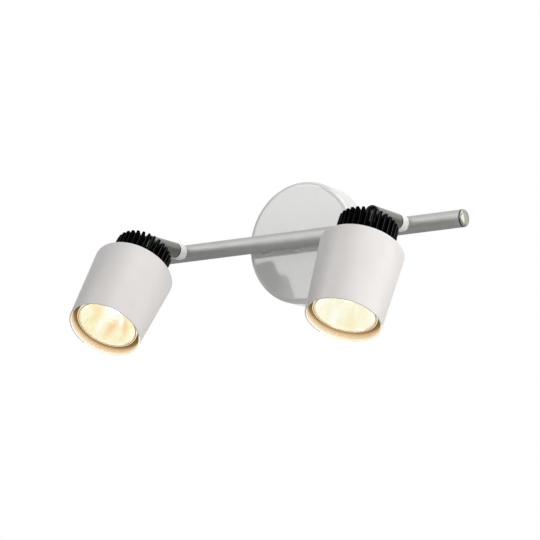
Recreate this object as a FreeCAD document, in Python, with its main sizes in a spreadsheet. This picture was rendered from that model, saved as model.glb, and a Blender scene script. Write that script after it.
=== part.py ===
import FreeCAD, Part
import math
import os
import re
import Sketcher

# Wall light with two pivoting spotlights on one bar.
# Row frame: the wall is the plane Y = 0, the room lies towards -Y, Z is up and the bar runs along X.
# The origin is the centre of the canopy's back face, on the wall.

DIMENSIONS = [
    # canopy on the wall
    ("canopy_diameter", 100.0),
    ("canopy_depth", 22.0),
    ("canopy_wall", 1.0),
    ("canopy_edge_radius", 4.0),
    # bracket behind the canopy
    ("bracket_length", 86.0),
    ("bracket_width", 20.0),
    ("bracket_thickness", 2.0),
    ("wall_screw_spacing", 48.0),
    ("wall_screw_hole", 4.5),
    ("inlet_hole", 12.0),
    ("inlet_bore", 7.0),
    ("grommet_flange", 1.5),
    ("grommet_lip", 2.0),
    ("stud_spacing", 65.0),
    ("stud_diameter", 4.0),
    ("cap_nut_diameter", 14.5),
    ("cap_nut_height", 2.7),
    ("cap_nut_bevel", 0.6),
    ("cap_nut_neck_diameter", 6.0),
    ("cap_nut_neck_length", 5.0),
    ("cap_nut_crown", 0.8),
    ("earth_screw_place", 11.0),
    ("earth_screw_rise", 5.0),
    ("earth_screw_diameter", 4.0),
    # terminal block
    ("block_width", 28.0),
    ("block_height", 16.0),
    ("block_depth", 13.0),
    ("block_gap", 7.0),
    ("block_screw_depth", 3.0),
    ("tab_inset", 2.0),
    ("pole_pitch", 9.0),
    ("pole_tube_diameter", 4.6),
    ("pole_tube_bore", 3.0),
    ("pole_screw_diameter", 3.0),
    ("pole_screw_length", 4.0),
    ("pole_screw_stop", 0.8),
    ("pole_slot_width", 0.6),
    ("pole_tube_inset", 0.5),
    ("block_screw_diameter", 3.0),
    # bar and what joins it to the canopy
    ("bar_standoff", 10.0),
    ("bar_diameter", 14.0),
    ("bar_wall", 1.0),
    ("bar_tube_length", 310.0),
    ("end_cap_head", 2.0),
    ("end_cap_plug", 8.0),
    ("end_cap_neck", 0.5),
    ("end_cap_neck_inset", 0.9),
    ("end_cap_edge_radius", 1.4),
    ("nipple_diameter", 10.0),
    ("nipple_bore", 7.0),
    ("nipple_tail", 8.0),
    ("nipple_nut_flats", 14.0),
    ("nipple_nut_height", 3.0),
    ("bar_seat_diameter", 16.0),
    ("tee_nut_length", 16.0),
    ("tee_nut_bore", 7.5),
    ("tee_nut_blind", 4.6),
    # arms
    ("arm_end_inset", 50.0),
    ("arm_diameter", 13.0),
    ("arm_wall", 1.0),
    ("arm_back", 16.5),
    ("arm_mouth_distance", 54.0),
    ("pivot_inset", 4.5),
    ("collar_diameter", 13.4),
    ("collar_back_distance", 8.4),
    ("collar_neck_diameter", 10.8),
    ("collar_edge_radius", 0.6),
    ("arm_edge_radius", 0.5),
    ("plug_thickness", 3.0),
    ("bolt_diameter", 8.0),
    ("bolt_bore", 5.4),
    ("bolt_head_diameter", 10.6),
    ("bolt_head_height", 2.5),
    ("bolt_slot_width", 1.2),
    ("bolt_slot_depth", 1.2),
    ("wave_washer_thickness", 0.5),
    ("pin_diameter", 3.0),
    ("pin_inset", 0.2),
    ("spacer_diameter", 6.0),
    ("spacer_thickness", 0.95),
    # finned rear cap and the fork on its roof
    ("fin_count", 30.0),
    ("fin_thickness", 2.0),
    ("fin_height", 23.6),
    ("fin_ring_diameter", 47.0),
    ("fin_corner_radius", 1.2),
    ("cap_core_diameter", 31.0),
    ("cap_core_height", 16.0),
    ("cap_core_wall", 2.5),
    ("cap_flange_thickness", 1.5),
    ("fork_width", 8.0),
    ("fork_base_length", 19.0),
    ("fork_base_thickness", 1.5),
    ("fork_tenon_diameter", 3.0),
    ("fork_tenon_spacing", 13.6),
    ("fork_tenon_head", 4.4),
    ("fork_tenon_head_height", 0.7),
    ("lug_thickness", 1.7),
    ("lug_gap", 3.6),
    ("seat_drop", 35.3),
    ("fork_offset", 3.8),
    ("tilt_angle_left", 54.0),
    ("tilt_angle_right", 64.3),
    # shade
    ("shade_rear_diameter", 66.0),
    ("shade_front_diameter", 59.2),
    ("shade_wall", 1.2),
    ("shade_rear_wall", 1.5),
    ("shade_edge_radius", 1.0),
    ("shade_lead_hole", 10.0),
    # lampholder and its screws
    ("holder_diameter", 29.0),
    ("holder_height", 11.5),
    ("holder_lift", 0.1),
    ("holder_pin_pitch", 10.0),
    ("holder_pin_hole", 5.6),
    ("contact_height", 0.8),
    ("cap_screw_spacing", 19.6),
    ("cap_screw_diameter", 3.0),
    ("cap_screw_head", 5.5),
    ("cap_screw_head_height", 2.0),
    ("cap_screw_seat", 5.0),
    ("cap_screw_reach", 9.0),
    ("cap_boss_diameter", 7.2),
    # lamp
    ("lamp_seat_gap", 0.4),
    ("lamp_recess", 5.5),
    ("lamp_diameter", 50.0),
    ("lamp_body_length", 46.5),
    ("lamp_rim_height", 4.0),
    ("lamp_glass_thickness", 1.5),
    ("lamp_rim_width", 1.3),
    ("reflector_wall", 1.3),
    ("reflector_neck", 22.0),
    ("reflector_grip", 7.0),
    ("reflector_step", 3.0),
    ("reflector_bulge", 33.0),
    ("lamp_base_diameter", 23.0),
    ("lamp_base_neck", 19.0),
    ("lamp_base_length", 19.5),
    ("lamp_pin_diameter", 3.0),
    ("lamp_pin_head", 5.0),
    ("lamp_pin_length", 7.3),
    ("lamp_pin_head_height", 2.6),
    ("capsule_diameter", 9.0),
    ("capsule_length", 13.0),
    # leads and clearances
    ("lead_diameter", 3.0),
    ("lead_side_step", 1.7),
    ("lead_bend", 3.5),
    ("lead_wrap", 3.3),
    ("lead_entry", 0.4),
    ("running_clearance", 0.05),
    ("face_clearance", 0.1),
    ("loose_clearance", 0.2),
    ("cut_overshoot", 1.0),
]

ORIGIN = FreeCAD.Vector(0, 0, 0)
ALONG_X = FreeCAD.Vector(1, 0, 0)
ALONG_Y = FreeCAD.Vector(0, 1, 0)
ALONG_Z = FreeCAD.Vector(0, 0, 1)
NO_TURN = FreeCAD.Rotation(ALONG_X, 0)
INTO_ROOM = FreeCAD.Rotation(ALONG_X, 90)
TO_RIGHT = FreeCAD.Rotation(ALONG_Y, 90)
TO_LEFT = FreeCAD.Rotation(ALONG_Y, -90)
SIDES = (("left", -1.0), ("right", 1.0))

document = FreeCAD.newDocument("pivoting_wall_light")
sheet = document.addObject("Spreadsheet::Sheet", "Sizes")
parts = []


def fill_sheet():
    for row, (alias, number) in enumerate(DIMENSIONS, start=1):
        sheet.set("A%d" % row, alias)
        sheet.set("B%d" % row, str(number))
        sheet.setAlias("B%d" % row, alias)
    document.recompute()


def size(expression):
    """The number that an expression in the sheet's names has now."""
    return float(sheet.evalExpression(bound(expression)))


def bound(expression):
    """The same expression as other objects write it, with the sheet's name before each size."""
    return re.sub(r"[a-z][a-z_]*", lambda word: "Sizes." + word.group(0), expression)


def keep(thing, label, placement):
    thing.Label = label
    thing.Placement = placement
    parts.append(thing)
    return thing


def helper(kind, label):
    return document.addObject(kind, label)


def set_sizes(thing, **expressions):
    for name, expression in expressions.items():
        thing.setExpression(name, bound(expression))
    return thing


def at(thing, x="0", y="0", z="0", turn=NO_TURN):
    """Places a helper solid inside its own sub-part, bound to the sheet."""
    thing.Placement = FreeCAD.Placement(ORIGIN, turn)
    for axis, expression in (("x", x), ("y", y), ("z", z)):
        if expression != "0":
            thing.setExpression("Placement.Base." + axis, bound(expression))
    return thing


def cylinder(label, diameter, height, x="0", y="0", z="0", turn=NO_TURN):
    solid = helper("Part::Cylinder", label)
    set_sizes(solid, Radius="( " + diameter + " ) / 2", Height=height)
    return at(solid, x, y, z, turn)


def box(label, length, width, height, x, y, z):
    solid = helper("Part::Box", label)
    set_sizes(solid, Length=length, Width=width, Height=height)
    return at(solid, x, y, z)


def cut(label, base, tool):
    result = helper("Part::Cut", label)
    result.Base = base
    result.Tool = tool
    return result


def joined(label, solids):
    result = helper("Part::MultiFuse", label)
    result.Shapes = solids
    return result


def group(label, solids):
    result = helper("Part::Compound", label)
    result.Links = solids
    return result


def origin_plane(body, role):
    for feature in body.Origin.OriginFeatures:
        if feature.Role == role:
            return feature
    raise ValueError("no origin feature " + role)


def new_sketch(body, label, role):
    sketch = body.newObject("Sketcher::SketchObject", label)
    sketch.AttachmentSupport = [(origin_plane(body, role), "")]
    sketch.MapMode = "FlatFace"
    return sketch


def pin_point(sketch, element, end, x, y):
    """Holds a sketch point at two expressions, or on an axis where one of them is 0."""
    for kind, expression, axis in (("DistanceX", x, -2), ("DistanceY", y, -1)):
        if expression == "0":
            sketch.addConstraint(Sketcher.Constraint("PointOnObject", element, end, axis))
            continue
        number = sketch.addConstraint(Sketcher.Constraint(kind, -1, 1, element, end, size(expression)))
        sketch.setExpression("Constraints[%d]" % number, bound(expression))


def outline(body, label, role, points, arcs=None):
    """A closed outline. arcs gives, for the side after a point, its radius and the side it bulges to."""
    sketch = new_sketch(body, label, role)
    arcs = arcs or {}
    count = len(points)
    places = [FreeCAD.Vector(size(x), size(y), 0) for x, y in points]
    ends = []
    for index in range(count):
        start = places[index]
        stop = places[(index + 1) % count]
        if index in arcs:
            radius, bulge = arcs[index]
            curve, forward = side_arc(start, stop, size(radius), bulge)
            number = sketch.addGeometry(curve, False)
            ends.append((number, 1 if forward else 2, 2 if forward else 1))
        else:
            number = sketch.addGeometry(Part.LineSegment(start, stop), False)
            ends.append((number, 1, 2))
    for index in range(count):
        following = (index + 1) % count
        sketch.addConstraint(Sketcher.Constraint("Coincident", ends[index][0], ends[index][2],
                                                 ends[following][0], ends[following][1]))
        pin_point(sketch, ends[index][0], ends[index][1], points[index][0], points[index][1])
        if index in arcs:
            number = sketch.addConstraint(Sketcher.Constraint("Radius", ends[index][0], size(arcs[index][0])))
            sketch.setExpression("Constraints[%d]" % number, bound(arcs[index][0]))
    return sketch


def side_arc(start, stop, radius, bulge):
    """The short arc of a radius from start to stop; bulge 1 lies to the left of the way there."""
    chord = stop.sub(start)
    half = chord.Length / 2
    middle = start.add(chord.multiply(0.5))
    across = FreeCAD.Vector(-(stop.y - start.y), stop.x - start.x, 0).normalize()
    rise = radius - math.sqrt(radius * radius - half * half)
    top = middle.add(across.multiply(bulge * rise))
    if bulge > 0:
        return Part.Arc(stop, top, start), False
    return Part.Arc(start, top, stop), True


def circles(body, label, role, rounds):
    """A sketch of full circles, each as diameter and the two expressions of its centre."""
    sketch = new_sketch(body, label, role)
    for diameter, x, y in rounds:
        centre = FreeCAD.Vector(size(x), size(y), 0)
        number = sketch.addGeometry(Part.Circle(centre, ALONG_Z, size(diameter) / 2), False)
        pin_point(sketch, number, 3, x, y)
        bond = sketch.addConstraint(Sketcher.Constraint("Diameter", number, size(diameter)))
        sketch.setExpression("Constraints[%d]" % bond, bound(diameter))
    return sketch


def new_body(label):
    return document.addObject("PartDesign::Body", label + "_body")


def revolve(body, label, points, arcs=None):
    """Turns an outline, drawn as radius and height, about the body's own Z axis."""
    sketch = outline(body, label + "_outline", "XZ_Plane", points, arcs)
    feature = body.newObject("PartDesign::Revolution", label)
    feature.Profile = sketch
    feature.ReferenceAxis = (sketch, ["V_Axis"])
    feature.Angle = 360
    document.recompute()
    return feature


def pad(body, label, sketch, length, both_ways=False, reverse=False):
    feature = body.newObject("PartDesign::Pad", label)
    feature.Profile = sketch
    feature.SideType = "Symmetric" if both_ways else "One side"
    feature.Reversed = reverse
    set_sizes(feature, Length=length)
    document.recompute()
    return feature


def pocket(body, label, sketch, length=None, reverse=False):
    """Cuts a sketch away, through everything both ways or one way to a length, and checks that it did."""
    before = body.Shape.Volume
    feature = body.newObject("PartDesign::Pocket", label)
    feature.Profile = sketch
    if length is None:
        feature.SideType = "Symmetric"
        feature.Type = "ThroughAll"
    else:
        feature.Reversed = reverse
        set_sizes(feature, Length=length)
    document.recompute()
    if not body.Shape.Volume < before - 0.01:
        raise ValueError(label + " cuts nothing")
    return feature


def round_edges(body, label, radius, chosen):
    """Fillets the edges for which chosen(edge) is true."""
    names = []
    for number, edge in enumerate(body.Tip.Shape.Edges, start=1):
        if chosen(edge):
            names.append("Edge%d" % number)
    if not names:
        raise ValueError(label + " found no edge")
    feature = body.newObject("PartDesign::Fillet", label)
    feature.Base = (body.Tip if body.Tip is not feature else feature.BaseFeature, names)
    set_sizes(feature, Radius=radius)
    document.recompute()
    return feature


def circle_edge(radius, height):
    """Picks the full circle of a radius about Z at a height."""
    def chosen(edge):
        curve = edge.Curve
        if not isinstance(curve, Part.Circle):
            return False
        middle = curve.Center
        return (abs(curve.Radius - radius) < 1e-4 and abs(middle.z - height) < 1e-4
                and math.hypot(middle.x, middle.y) < 1e-4)
    return chosen


def tube_along(label, edges, diameter, placement):
    """A round lead along joined edges, checked against its section times its length. Prints its bends."""
    path = Part.Wire(edges)
    bends = [edge.Curve.Radius for edge in path.Edges if isinstance(edge.Curve, Part.Circle)]
    radii = ", ".join("%.1f" % bend for bend in bends)
    print("%-22s %.1f mm long, bend radii %s mm" % (label, path.Length, radii))
    start = path.Edges[0].valueAt(path.Edges[0].FirstParameter)
    heading = path.Edges[0].tangentAt(path.Edges[0].FirstParameter)
    ring = Part.Wire([Part.makeCircle(diameter / 2, start, heading)])
    solid = path.makePipeShell([ring], True, False)
    wanted = math.pi * diameter * diameter / 4 * path.Length
    if abs(solid.Volume - wanted) > 0.01 * wanted:
        raise ValueError(label + " has the wrong volume")
    feature = document.addObject("Part::Feature", label)
    feature.Shape = solid
    return keep(feature, label, placement)


def rounded_path(points, radii):
    """Straight runs joined by tangent arcs, one radius for each inner point."""
    edges = []
    here = points[0]
    for index in range(1, len(points) - 1):
        corner = points[index]
        arriving = corner.sub(points[index - 1]).normalize()
        leaving = points[index + 1].sub(corner).normalize()
        turn = arriving.getAngle(leaving)
        back = radii[index - 1] * math.tan(turn / 2)
        first = corner.sub(FreeCAD.Vector(arriving).multiply(back))
        last = corner.add(FreeCAD.Vector(leaving).multiply(back))
        inward = FreeCAD.Vector(leaving).sub(arriving).normalize()
        depth = radii[index - 1] / math.cos(turn / 2) - radii[index - 1]
        middle = corner.add(inward.multiply(depth))
        if here.distanceToPoint(first) > 1e-6:
            edges.append(Part.LineSegment(here, first).toShape())
        edges.append(Part.Arc(first, middle, last).toShape())
        here = last
    edges.append(Part.LineSegment(here, points[-1]).toShape())
    return edges


BAR_OUT = "( canopy_depth + bar_standoff )"
PIVOT_OUT = "( arm_mouth_distance - pivot_inset )"
ARM_SIDE = "( bar_tube_length / 2 - arm_end_inset )"


# Heights along a head, from the shade's rear face: the lamp stands on the holder, the shade ends beyond.
HOLDER_START = "( shade_rear_wall + holder_lift )"
HOLDER_END = "( shade_rear_wall + holder_lift + holder_height )"
PIN_ROOT = "( shade_rear_wall + holder_lift + holder_height + lamp_seat_gap )"
PIN_TIP = "( " + PIN_ROOT + " - lamp_pin_length )"
BASE_END = "( " + PIN_ROOT + " + lamp_base_length )"
LAMP_FRONT = "( " + PIN_ROOT + " + lamp_body_length )"
SHADE_END = "( " + PIN_ROOT + " + lamp_body_length + lamp_recess )"
GLASS_RADIUS = "( lamp_diameter / 2 - lamp_rim_width )"


def wall_place():
    return FreeCAD.Placement(ORIGIN, INTO_ROOM)


def bar_place(turn=NO_TURN, x=0.0):
    return FreeCAD.Placement(FreeCAD.Vector(x, -size(BAR_OUT), 0), turn)


def arm_place(side):
    return bar_place(INTO_ROOM, side * size(ARM_SIDE))


def head_place(name, side):
    """Local Z runs down the shade from its rear face to its lens, local Y points up and forward."""
    tilt = size("tilt_angle_" + name)
    turn = FreeCAD.Rotation(ALONG_X, 90 + tilt)
    pivot = FreeCAD.Vector(side * size(ARM_SIDE), -size(BAR_OUT + " + " + PIVOT_OUT), 0)
    rear = turn.multVec(FreeCAD.Vector(0, size("fork_offset"), size("seat_drop")))
    return FreeCAD.Placement(pivot.add(rear), turn)


def wall_bracket():
    body = new_body("wall_bracket")
    long_half = "bracket_length / 2"
    half = "bracket_width / 2"
    tab_left = "-block_width / 2 + tab_inset"
    tab_right = "block_width / 2 - tab_inset"
    low = "-bracket_width / 2 - block_gap - block_height"
    points = [("-" + long_half, "-" + half), (tab_left, "-" + half), (tab_left, low), (tab_right, low),
              (tab_right, "-" + half), (long_half, "-" + half), (long_half, half), ("-" + long_half, half)]
    pad(body, "plate", outline(body, "plate_outline", "XY_Plane", points), "bracket_thickness")
    stud_hole = "stud_diameter + 2 * running_clearance"
    holes = [("inlet_hole", "0", "0"),
             ("wall_screw_hole", "wall_screw_spacing / 2", "0"),
             ("wall_screw_hole", "-wall_screw_spacing / 2", "0"),
             (stud_hole, "stud_spacing / 2", "0"), (stud_hole, "-stud_spacing / 2", "0"),
             ("block_screw_diameter + 2 * running_clearance", "pole_pitch / 2", BLOCK_MIDDLE),
             ("earth_screw_diameter + 2 * running_clearance", "earth_screw_place", "earth_screw_rise")]
    pocket(body, "holes", circles(body, "hole_circles", "XY_Plane", holes))
    return keep(body, "wall_bracket", wall_place())


BLOCK_TOP = "( -bracket_width / 2 - block_gap )"
BLOCK_MIDDLE = "( -bracket_width / 2 - block_gap - block_height / 2 )"
POLE_OUT = "( bracket_thickness + block_depth / 2 )"
BLOCK_SCREW_SEAT = "( bracket_thickness + block_depth - block_screw_depth )"


def inlet_grommet():
    body = new_body("inlet_grommet")
    bore = "inlet_bore / 2"
    neck = "inlet_hole / 2 - running_clearance"
    lip = "inlet_hole / 2 + grommet_lip"
    back = "bracket_thickness + face_clearance"
    front = "bracket_thickness + face_clearance + grommet_flange"
    points = [(bore, "0"), (neck, "0"), (neck, back), (lip, back), (lip, front), (bore, front)]
    revolve(body, "grommet", points)
    return keep(body, "inlet_grommet", wall_place())


def canopy():
    body = new_body("canopy")
    rim = "canopy_diameter / 2"
    inside = "canopy_diameter / 2 - canopy_wall"
    hole = "nipple_diameter / 2 + face_clearance"
    under = "canopy_depth - canopy_wall"
    revolve(body, "dome", [(hole, under), (inside, under), (inside, "0"), (rim, "0"), (rim, "canopy_depth"),
                           (hole, "canopy_depth")])
    round_edges(body, "outer_edge", "canopy_edge_radius", circle_edge(size(rim), size("canopy_depth")))
    round_edges(body, "inner_edge", "canopy_edge_radius - canopy_wall",
                circle_edge(size(inside), size(under)))
    stud_hole = "cap_nut_neck_diameter + 4 * face_clearance"
    holes = [(stud_hole, "stud_spacing / 2", "0"), (stud_hole, "-stud_spacing / 2", "0")]
    pocket(body, "stud_holes", circles(body, "stud_circles", "XY_Plane", holes))
    return keep(body, "canopy", wall_place())


NUT_TOP = "( canopy_depth + cap_nut_height )"


def canopy_studs():
    studs = []
    for name, sign in (("left", "-"), ("right", "")):
        studs.append(cylinder("stud_" + name, "stud_diameter", NUT_TOP + " - cap_nut_crown - loose_clearance",
                              sign + "stud_spacing / 2"))
    return keep(group("stud_pair", studs), "canopy_studs", wall_place())


def cap_nuts():
    """Low round nuts whose threaded necks reach through the canopy to the studs."""
    nuts = []
    thread = "stud_diameter + 2 * running_clearance"
    for name, sign in (("left", "-"), ("right", "")):
        across = sign + "stud_spacing / 2"
        rim = cylinder("nut_rim_" + name, "cap_nut_diameter", "cap_nut_height - cap_nut_bevel", across, "0",
                       "canopy_depth")
        bevel = helper("Part::Cone", "nut_bevel_" + name)
        set_sizes(bevel, Radius1="cap_nut_diameter / 2", Radius2="cap_nut_diameter / 2 - cap_nut_bevel",
                  Height="cap_nut_bevel")
        at(bevel, across, "0", NUT_TOP + " - cap_nut_bevel")
        neck = cylinder("nut_neck_" + name, "cap_nut_neck_diameter",
                        "cap_nut_neck_length + cut_overshoot", across, "0",
                        "canopy_depth - cap_nut_neck_length")
        bore = cylinder("nut_thread_" + name, thread,
                        "cap_nut_neck_length + cap_nut_height - cap_nut_crown + cut_overshoot", across, "0",
                        "canopy_depth - cap_nut_neck_length - cut_overshoot")
        nuts.append(cut("cap_nut_" + name, joined("nut_whole_" + name, [rim, bevel, neck]), bore))
    return keep(group("nut_pair", nuts), "cap_nuts", wall_place())


def pole_places():
    return ("-pole_pitch", "0", "pole_pitch")


def terminal_block():
    case = box("block_case", "block_width", "block_height", "block_depth",
               "-block_width / 2", BLOCK_TOP + " - block_height", "bracket_thickness")
    tools = []
    for number, across in enumerate(pole_places()):
        tools.append(cylinder("wire_way_%d" % number, "pole_tube_diameter + 2 * face_clearance",
                              "block_height + 2 * cut_overshoot", across, BLOCK_TOP + " + cut_overshoot",
                              POLE_OUT, INTO_ROOM))
        for row, shift in enumerate(("-block_height / 4", "block_height / 4")):
            tools.append(cylinder("screw_way_%d_%d" % (number, row),
                                  "pole_screw_diameter + 4 * face_clearance", "block_depth",
                                  across, BLOCK_MIDDLE + " + " + shift, POLE_OUT))
    tools.append(cylinder("fixing_way", "block_screw_diameter + 2 * face_clearance",
                          "block_depth + 2 * cut_overshoot", "pole_pitch / 2", BLOCK_MIDDLE,
                          "bracket_thickness - cut_overshoot"))
    tools.append(cylinder("fixing_recess", "block_screw_diameter * 2", "block_depth / 2",
                          "pole_pitch / 2", BLOCK_MIDDLE, BLOCK_SCREW_SEAT))
    result = cut("block_cut", case, joined("block_tools", tools))
    return keep(result, "terminal_block", wall_place())


def terminal_tubes():
    tubes = []
    for number, across in enumerate(pole_places()):
        outer = cylinder("pole_outer_%d" % number, "pole_tube_diameter",
                         "block_height - 2 * pole_tube_inset", across,
                         BLOCK_TOP + " - pole_tube_inset", POLE_OUT, INTO_ROOM)
        bore = cylinder("pole_bore_%d" % number, "pole_tube_bore", "block_height + 2 * cut_overshoot",
                        across, BLOCK_TOP + " + cut_overshoot", POLE_OUT, INTO_ROOM)
        hollow = cut("pole_tube_%d" % number, outer, bore)
        threads = []
        for row, shift in enumerate(("-block_height / 4", "block_height / 4")):
            threads.append(cylinder("pole_thread_%d_%d" % (number, row),
                                    "pole_screw_diameter + 2 * running_clearance", "pole_tube_diameter",
                                    across, BLOCK_MIDDLE + " + " + shift, POLE_OUT))
        tubes.append(cut("pole_%d" % number, hollow, joined("pole_threads_%d" % number, threads)))
    return keep(group("pole_tubes", tubes), "terminal_tubes", wall_place())


def terminal_screws():
    screws = []
    for number, across in enumerate(pole_places()):
        for row, shift in enumerate(("-block_height / 4", "block_height / 4")):
            place = BLOCK_MIDDLE + " + " + shift
            shank = cylinder("clamp_shank_%d_%d" % (number, row), "pole_screw_diameter", "pole_screw_length",
                             across, place, POLE_OUT + " + pole_screw_stop")
            slot = box("clamp_slot_%d_%d" % (number, row), "pole_screw_diameter * 2",
                       "pole_slot_width", "pole_screw_stop + cut_overshoot",
                       across + " - pole_screw_diameter", place + " - pole_slot_width / 2",
                       POLE_OUT + " + pole_screw_length")
            screws.append(cut("clamp_screw_%d_%d" % (number, row), shank, slot))
    return keep(group("clamp_screws", screws), "terminal_screws", wall_place())


def pan_screw(label, diameter, reach, grip, x, y, z):
    """A pan head screw: its head stands on height z and its shank reaches down to z - reach."""
    seat = z + " + " + grip
    shank = cylinder(label + "_shank", diameter, reach + " + " + grip, x, y, z + " - " + reach)
    head = cylinder(label + "_head", diameter + " * 1.85", diameter + " * 0.6", x, y, seat)
    slot = box(label + "_slot", diameter + " * 2", diameter + " * 0.25", diameter,
               x + " - " + diameter, y + " - " + diameter + " * 0.125", seat + " + " + diameter + " * 0.3")
    return cut(label + "_cut", joined(label + "_whole", [shank, head]), slot)


def block_screw():
    screw = pan_screw("block_screw", "block_screw_diameter", BLOCK_SCREW_SEAT, "running_clearance",
                      "pole_pitch / 2", BLOCK_MIDDLE, BLOCK_SCREW_SEAT)
    return keep(screw, "block_screw", wall_place())


def earth_screw():
    screw = pan_screw("earth_screw", "earth_screw_diameter", "bracket_thickness", "1", "earth_screw_place",
                      "earth_screw_rise", "bracket_thickness")
    return keep(screw, "earth_screw", wall_place())


NIPPLE_END = "( canopy_depth + bar_standoff - tee_nut_bore / 2 - 0.1 )"


def bar_nipple():
    start = "canopy_depth - nipple_tail"
    outer = cylinder("nipple_outer", "nipple_diameter", NIPPLE_END + " - canopy_depth + nipple_tail",
                     "0", "0", start)
    bore = cylinder("nipple_hollow", "nipple_bore", "canopy_depth + bar_standoff", "0", "0", "0")
    return keep(cut("nipple_cut", outer, bore), "bar_nipple", wall_place())


def nipple_nut():
    prism = helper("Part::Prism", "nut_hexagon")
    prism.Polygon = 6
    set_sizes(prism, Height="nipple_nut_height")
    prism.setExpression("Circumradius", "Sizes.nipple_nut_flats / 2 / cos(30 deg)")
    start = "canopy_depth - canopy_wall - nipple_nut_height - running_clearance"
    at(prism, "0", "0", start)
    bore = cylinder("nut_bore", "nipple_diameter + 2 * running_clearance",
                    "nipple_nut_height + 2 * cut_overshoot", "0", "0", start + " - cut_overshoot")
    return keep(cut("nipple_nut_cut", prism, bore), "nipple_nut", wall_place())


def bar_seat():
    """Spacer between canopy and bar, hollowed to the bar's round."""
    blank = cylinder("seat_blank", "bar_seat_diameter", "bar_standoff - bar_diameter / 4",
                     "0", "0", "canopy_depth")
    bore = cylinder("seat_bore", "nipple_diameter + 2 * face_clearance", "bar_standoff",
                    "0", "0", "canopy_depth - cut_overshoot")
    saddle = cylinder("seat_saddle", "bar_diameter + 2 * running_clearance", "bar_seat_diameter * 2",
                      "-bar_seat_diameter", "0", BAR_OUT, TO_RIGHT)
    return keep(cut("seat_cut", blank, joined("seat_tools", [bore, saddle])), "bar_seat", wall_place())


def bar_tube():
    body = new_body("bar_tube")
    rings = [("bar_diameter", "0", "0"), ("bar_diameter - 2 * bar_wall", "0", "0")]
    pad(body, "tube", circles(body, "tube_section", "YZ_Plane", rings), "bar_tube_length", both_ways=True)
    rear = circles(body, "rear_hole", "XZ_Plane", [("nipple_diameter + 2 * face_clearance", "0", "0")])
    pocket(body, "rear_opening", rear, "bar_diameter", reverse=False)
    bolt_hole = "bolt_diameter + 2 * face_clearance"
    fronts = [(bolt_hole, ARM_SIDE, "0"), (bolt_hole, "-1 * " + ARM_SIDE, "0")]
    front = circles(body, "front_holes", "XZ_Plane", fronts)
    pocket(body, "front_openings", front, "bar_diameter", reverse=True)
    return keep(body, "bar_tube", bar_place())


def end_cap(name, side):
    body = new_body("end_cap_" + name)
    plug = "bar_diameter / 2 - bar_wall - running_clearance"
    neck = "bar_diameter / 2 - end_cap_neck_inset"
    head = "bar_diameter / 2"
    seat = "running_clearance"
    points = [("0", "-end_cap_plug"), (plug, "-end_cap_plug"), (plug, seat), (neck, seat),
              (neck, "end_cap_neck"), (head, "end_cap_neck"), (head, "end_cap_head"), ("0", "end_cap_head")]
    revolve(body, "cap", points)
    round_edges(body, "cap_edge", "end_cap_edge_radius", circle_edge(size(head), size("end_cap_head")))
    turn = TO_RIGHT if side > 0 else TO_LEFT
    return keep(body, "end_cap_" + name, bar_place(turn, side * size("bar_tube_length / 2")))


def tee_nut(label, cross, blind_to):
    """A short rod in the bar: a threaded cross hole on local +Z, a lead bore along local X."""
    rod = cylinder(label + "_rod", "bar_diameter - 2 * bar_wall - 2 * face_clearance", "tee_nut_length",
                   "-tee_nut_length / 2", "0", "0", TO_RIGHT)
    bore = cylinder(label + "_bore", "tee_nut_bore", "tee_nut_length / 2 + cut_overshoot + " + blind_to,
                    "-tee_nut_length / 2 - cut_overshoot", "0", "0", TO_RIGHT)
    thread = cylinder(label + "_thread", cross + " + 2 * running_clearance", "bar_diameter")
    return cut(label + "_cut", rod, joined(label + "_tools", [bore, thread]))


def centre_nut():
    nut = tee_nut("centre_nut", "nipple_diameter", "tee_nut_length / 2 + cut_overshoot")
    return keep(nut, "centre_nut", bar_place(FreeCAD.Rotation(ALONG_X, -90)))


def barrel_nut(name, side):
    nut = tee_nut("barrel_nut_" + name, "bolt_diameter", "tee_nut_blind")
    turn = INTO_ROOM if side > 0 else INTO_ROOM.multiply(FreeCAD.Rotation(ALONG_Z, 180))
    return keep(nut, "barrel_nut_" + name, bar_place(turn, side * size(ARM_SIDE)))


BOLT_START = "( tee_nut_bore / 2 + face_clearance )"
WASHER_START = "( arm_back + face_clearance + plug_thickness + running_clearance )"
HEAD_START = "( arm_back + face_clearance + plug_thickness + wave_washer_thickness + 2 * running_clearance )"
BOLT_END = "( " + HEAD_START + " + bolt_head_height )"


def swivel_bolt(name, side):
    shank = cylinder("bolt_shank_" + name, "bolt_diameter", HEAD_START + " - " + BOLT_START + " + 0.5",
                     "0", "0", BOLT_START)
    head = cylinder("bolt_head_" + name, "bolt_head_diameter", "bolt_head_height", "0", "0", HEAD_START)
    bore = cylinder("bolt_hollow_" + name, "bolt_bore", "arm_mouth_distance", "0", "0", "0")
    slot = box("bolt_slot_" + name, "bolt_head_diameter * 2", "bolt_slot_width", "bolt_slot_depth * 2",
               "-bolt_head_diameter", "-bolt_slot_width / 2", BOLT_END + " - bolt_slot_depth")
    whole = joined("bolt_whole_" + name, [shank, head])
    return keep(cut("bolt_cut_" + name, whole, joined("bolt_tools_" + name, [bore, slot])),
                "swivel_bolt_" + name, arm_place(side))


def wave_washers():
    """One spring washer under each swivel bolt's head."""
    washers = []
    for name, place in (("right", ARM_SIDE), ("left", "-1 * " + ARM_SIDE)):
        outer = cylinder("washer_outer_" + name, "bolt_head_diameter", "wave_washer_thickness", place, "0",
                         WASHER_START)
        bore = cylinder("washer_bore_" + name, "bolt_diameter + 2 * face_clearance", "arm_mouth_distance",
                        place)
        washers.append(cut("washer_" + name, outer, bore))
    return keep(group("washer_pair", washers), "wave_washers", bar_place(INTO_ROOM))


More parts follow.
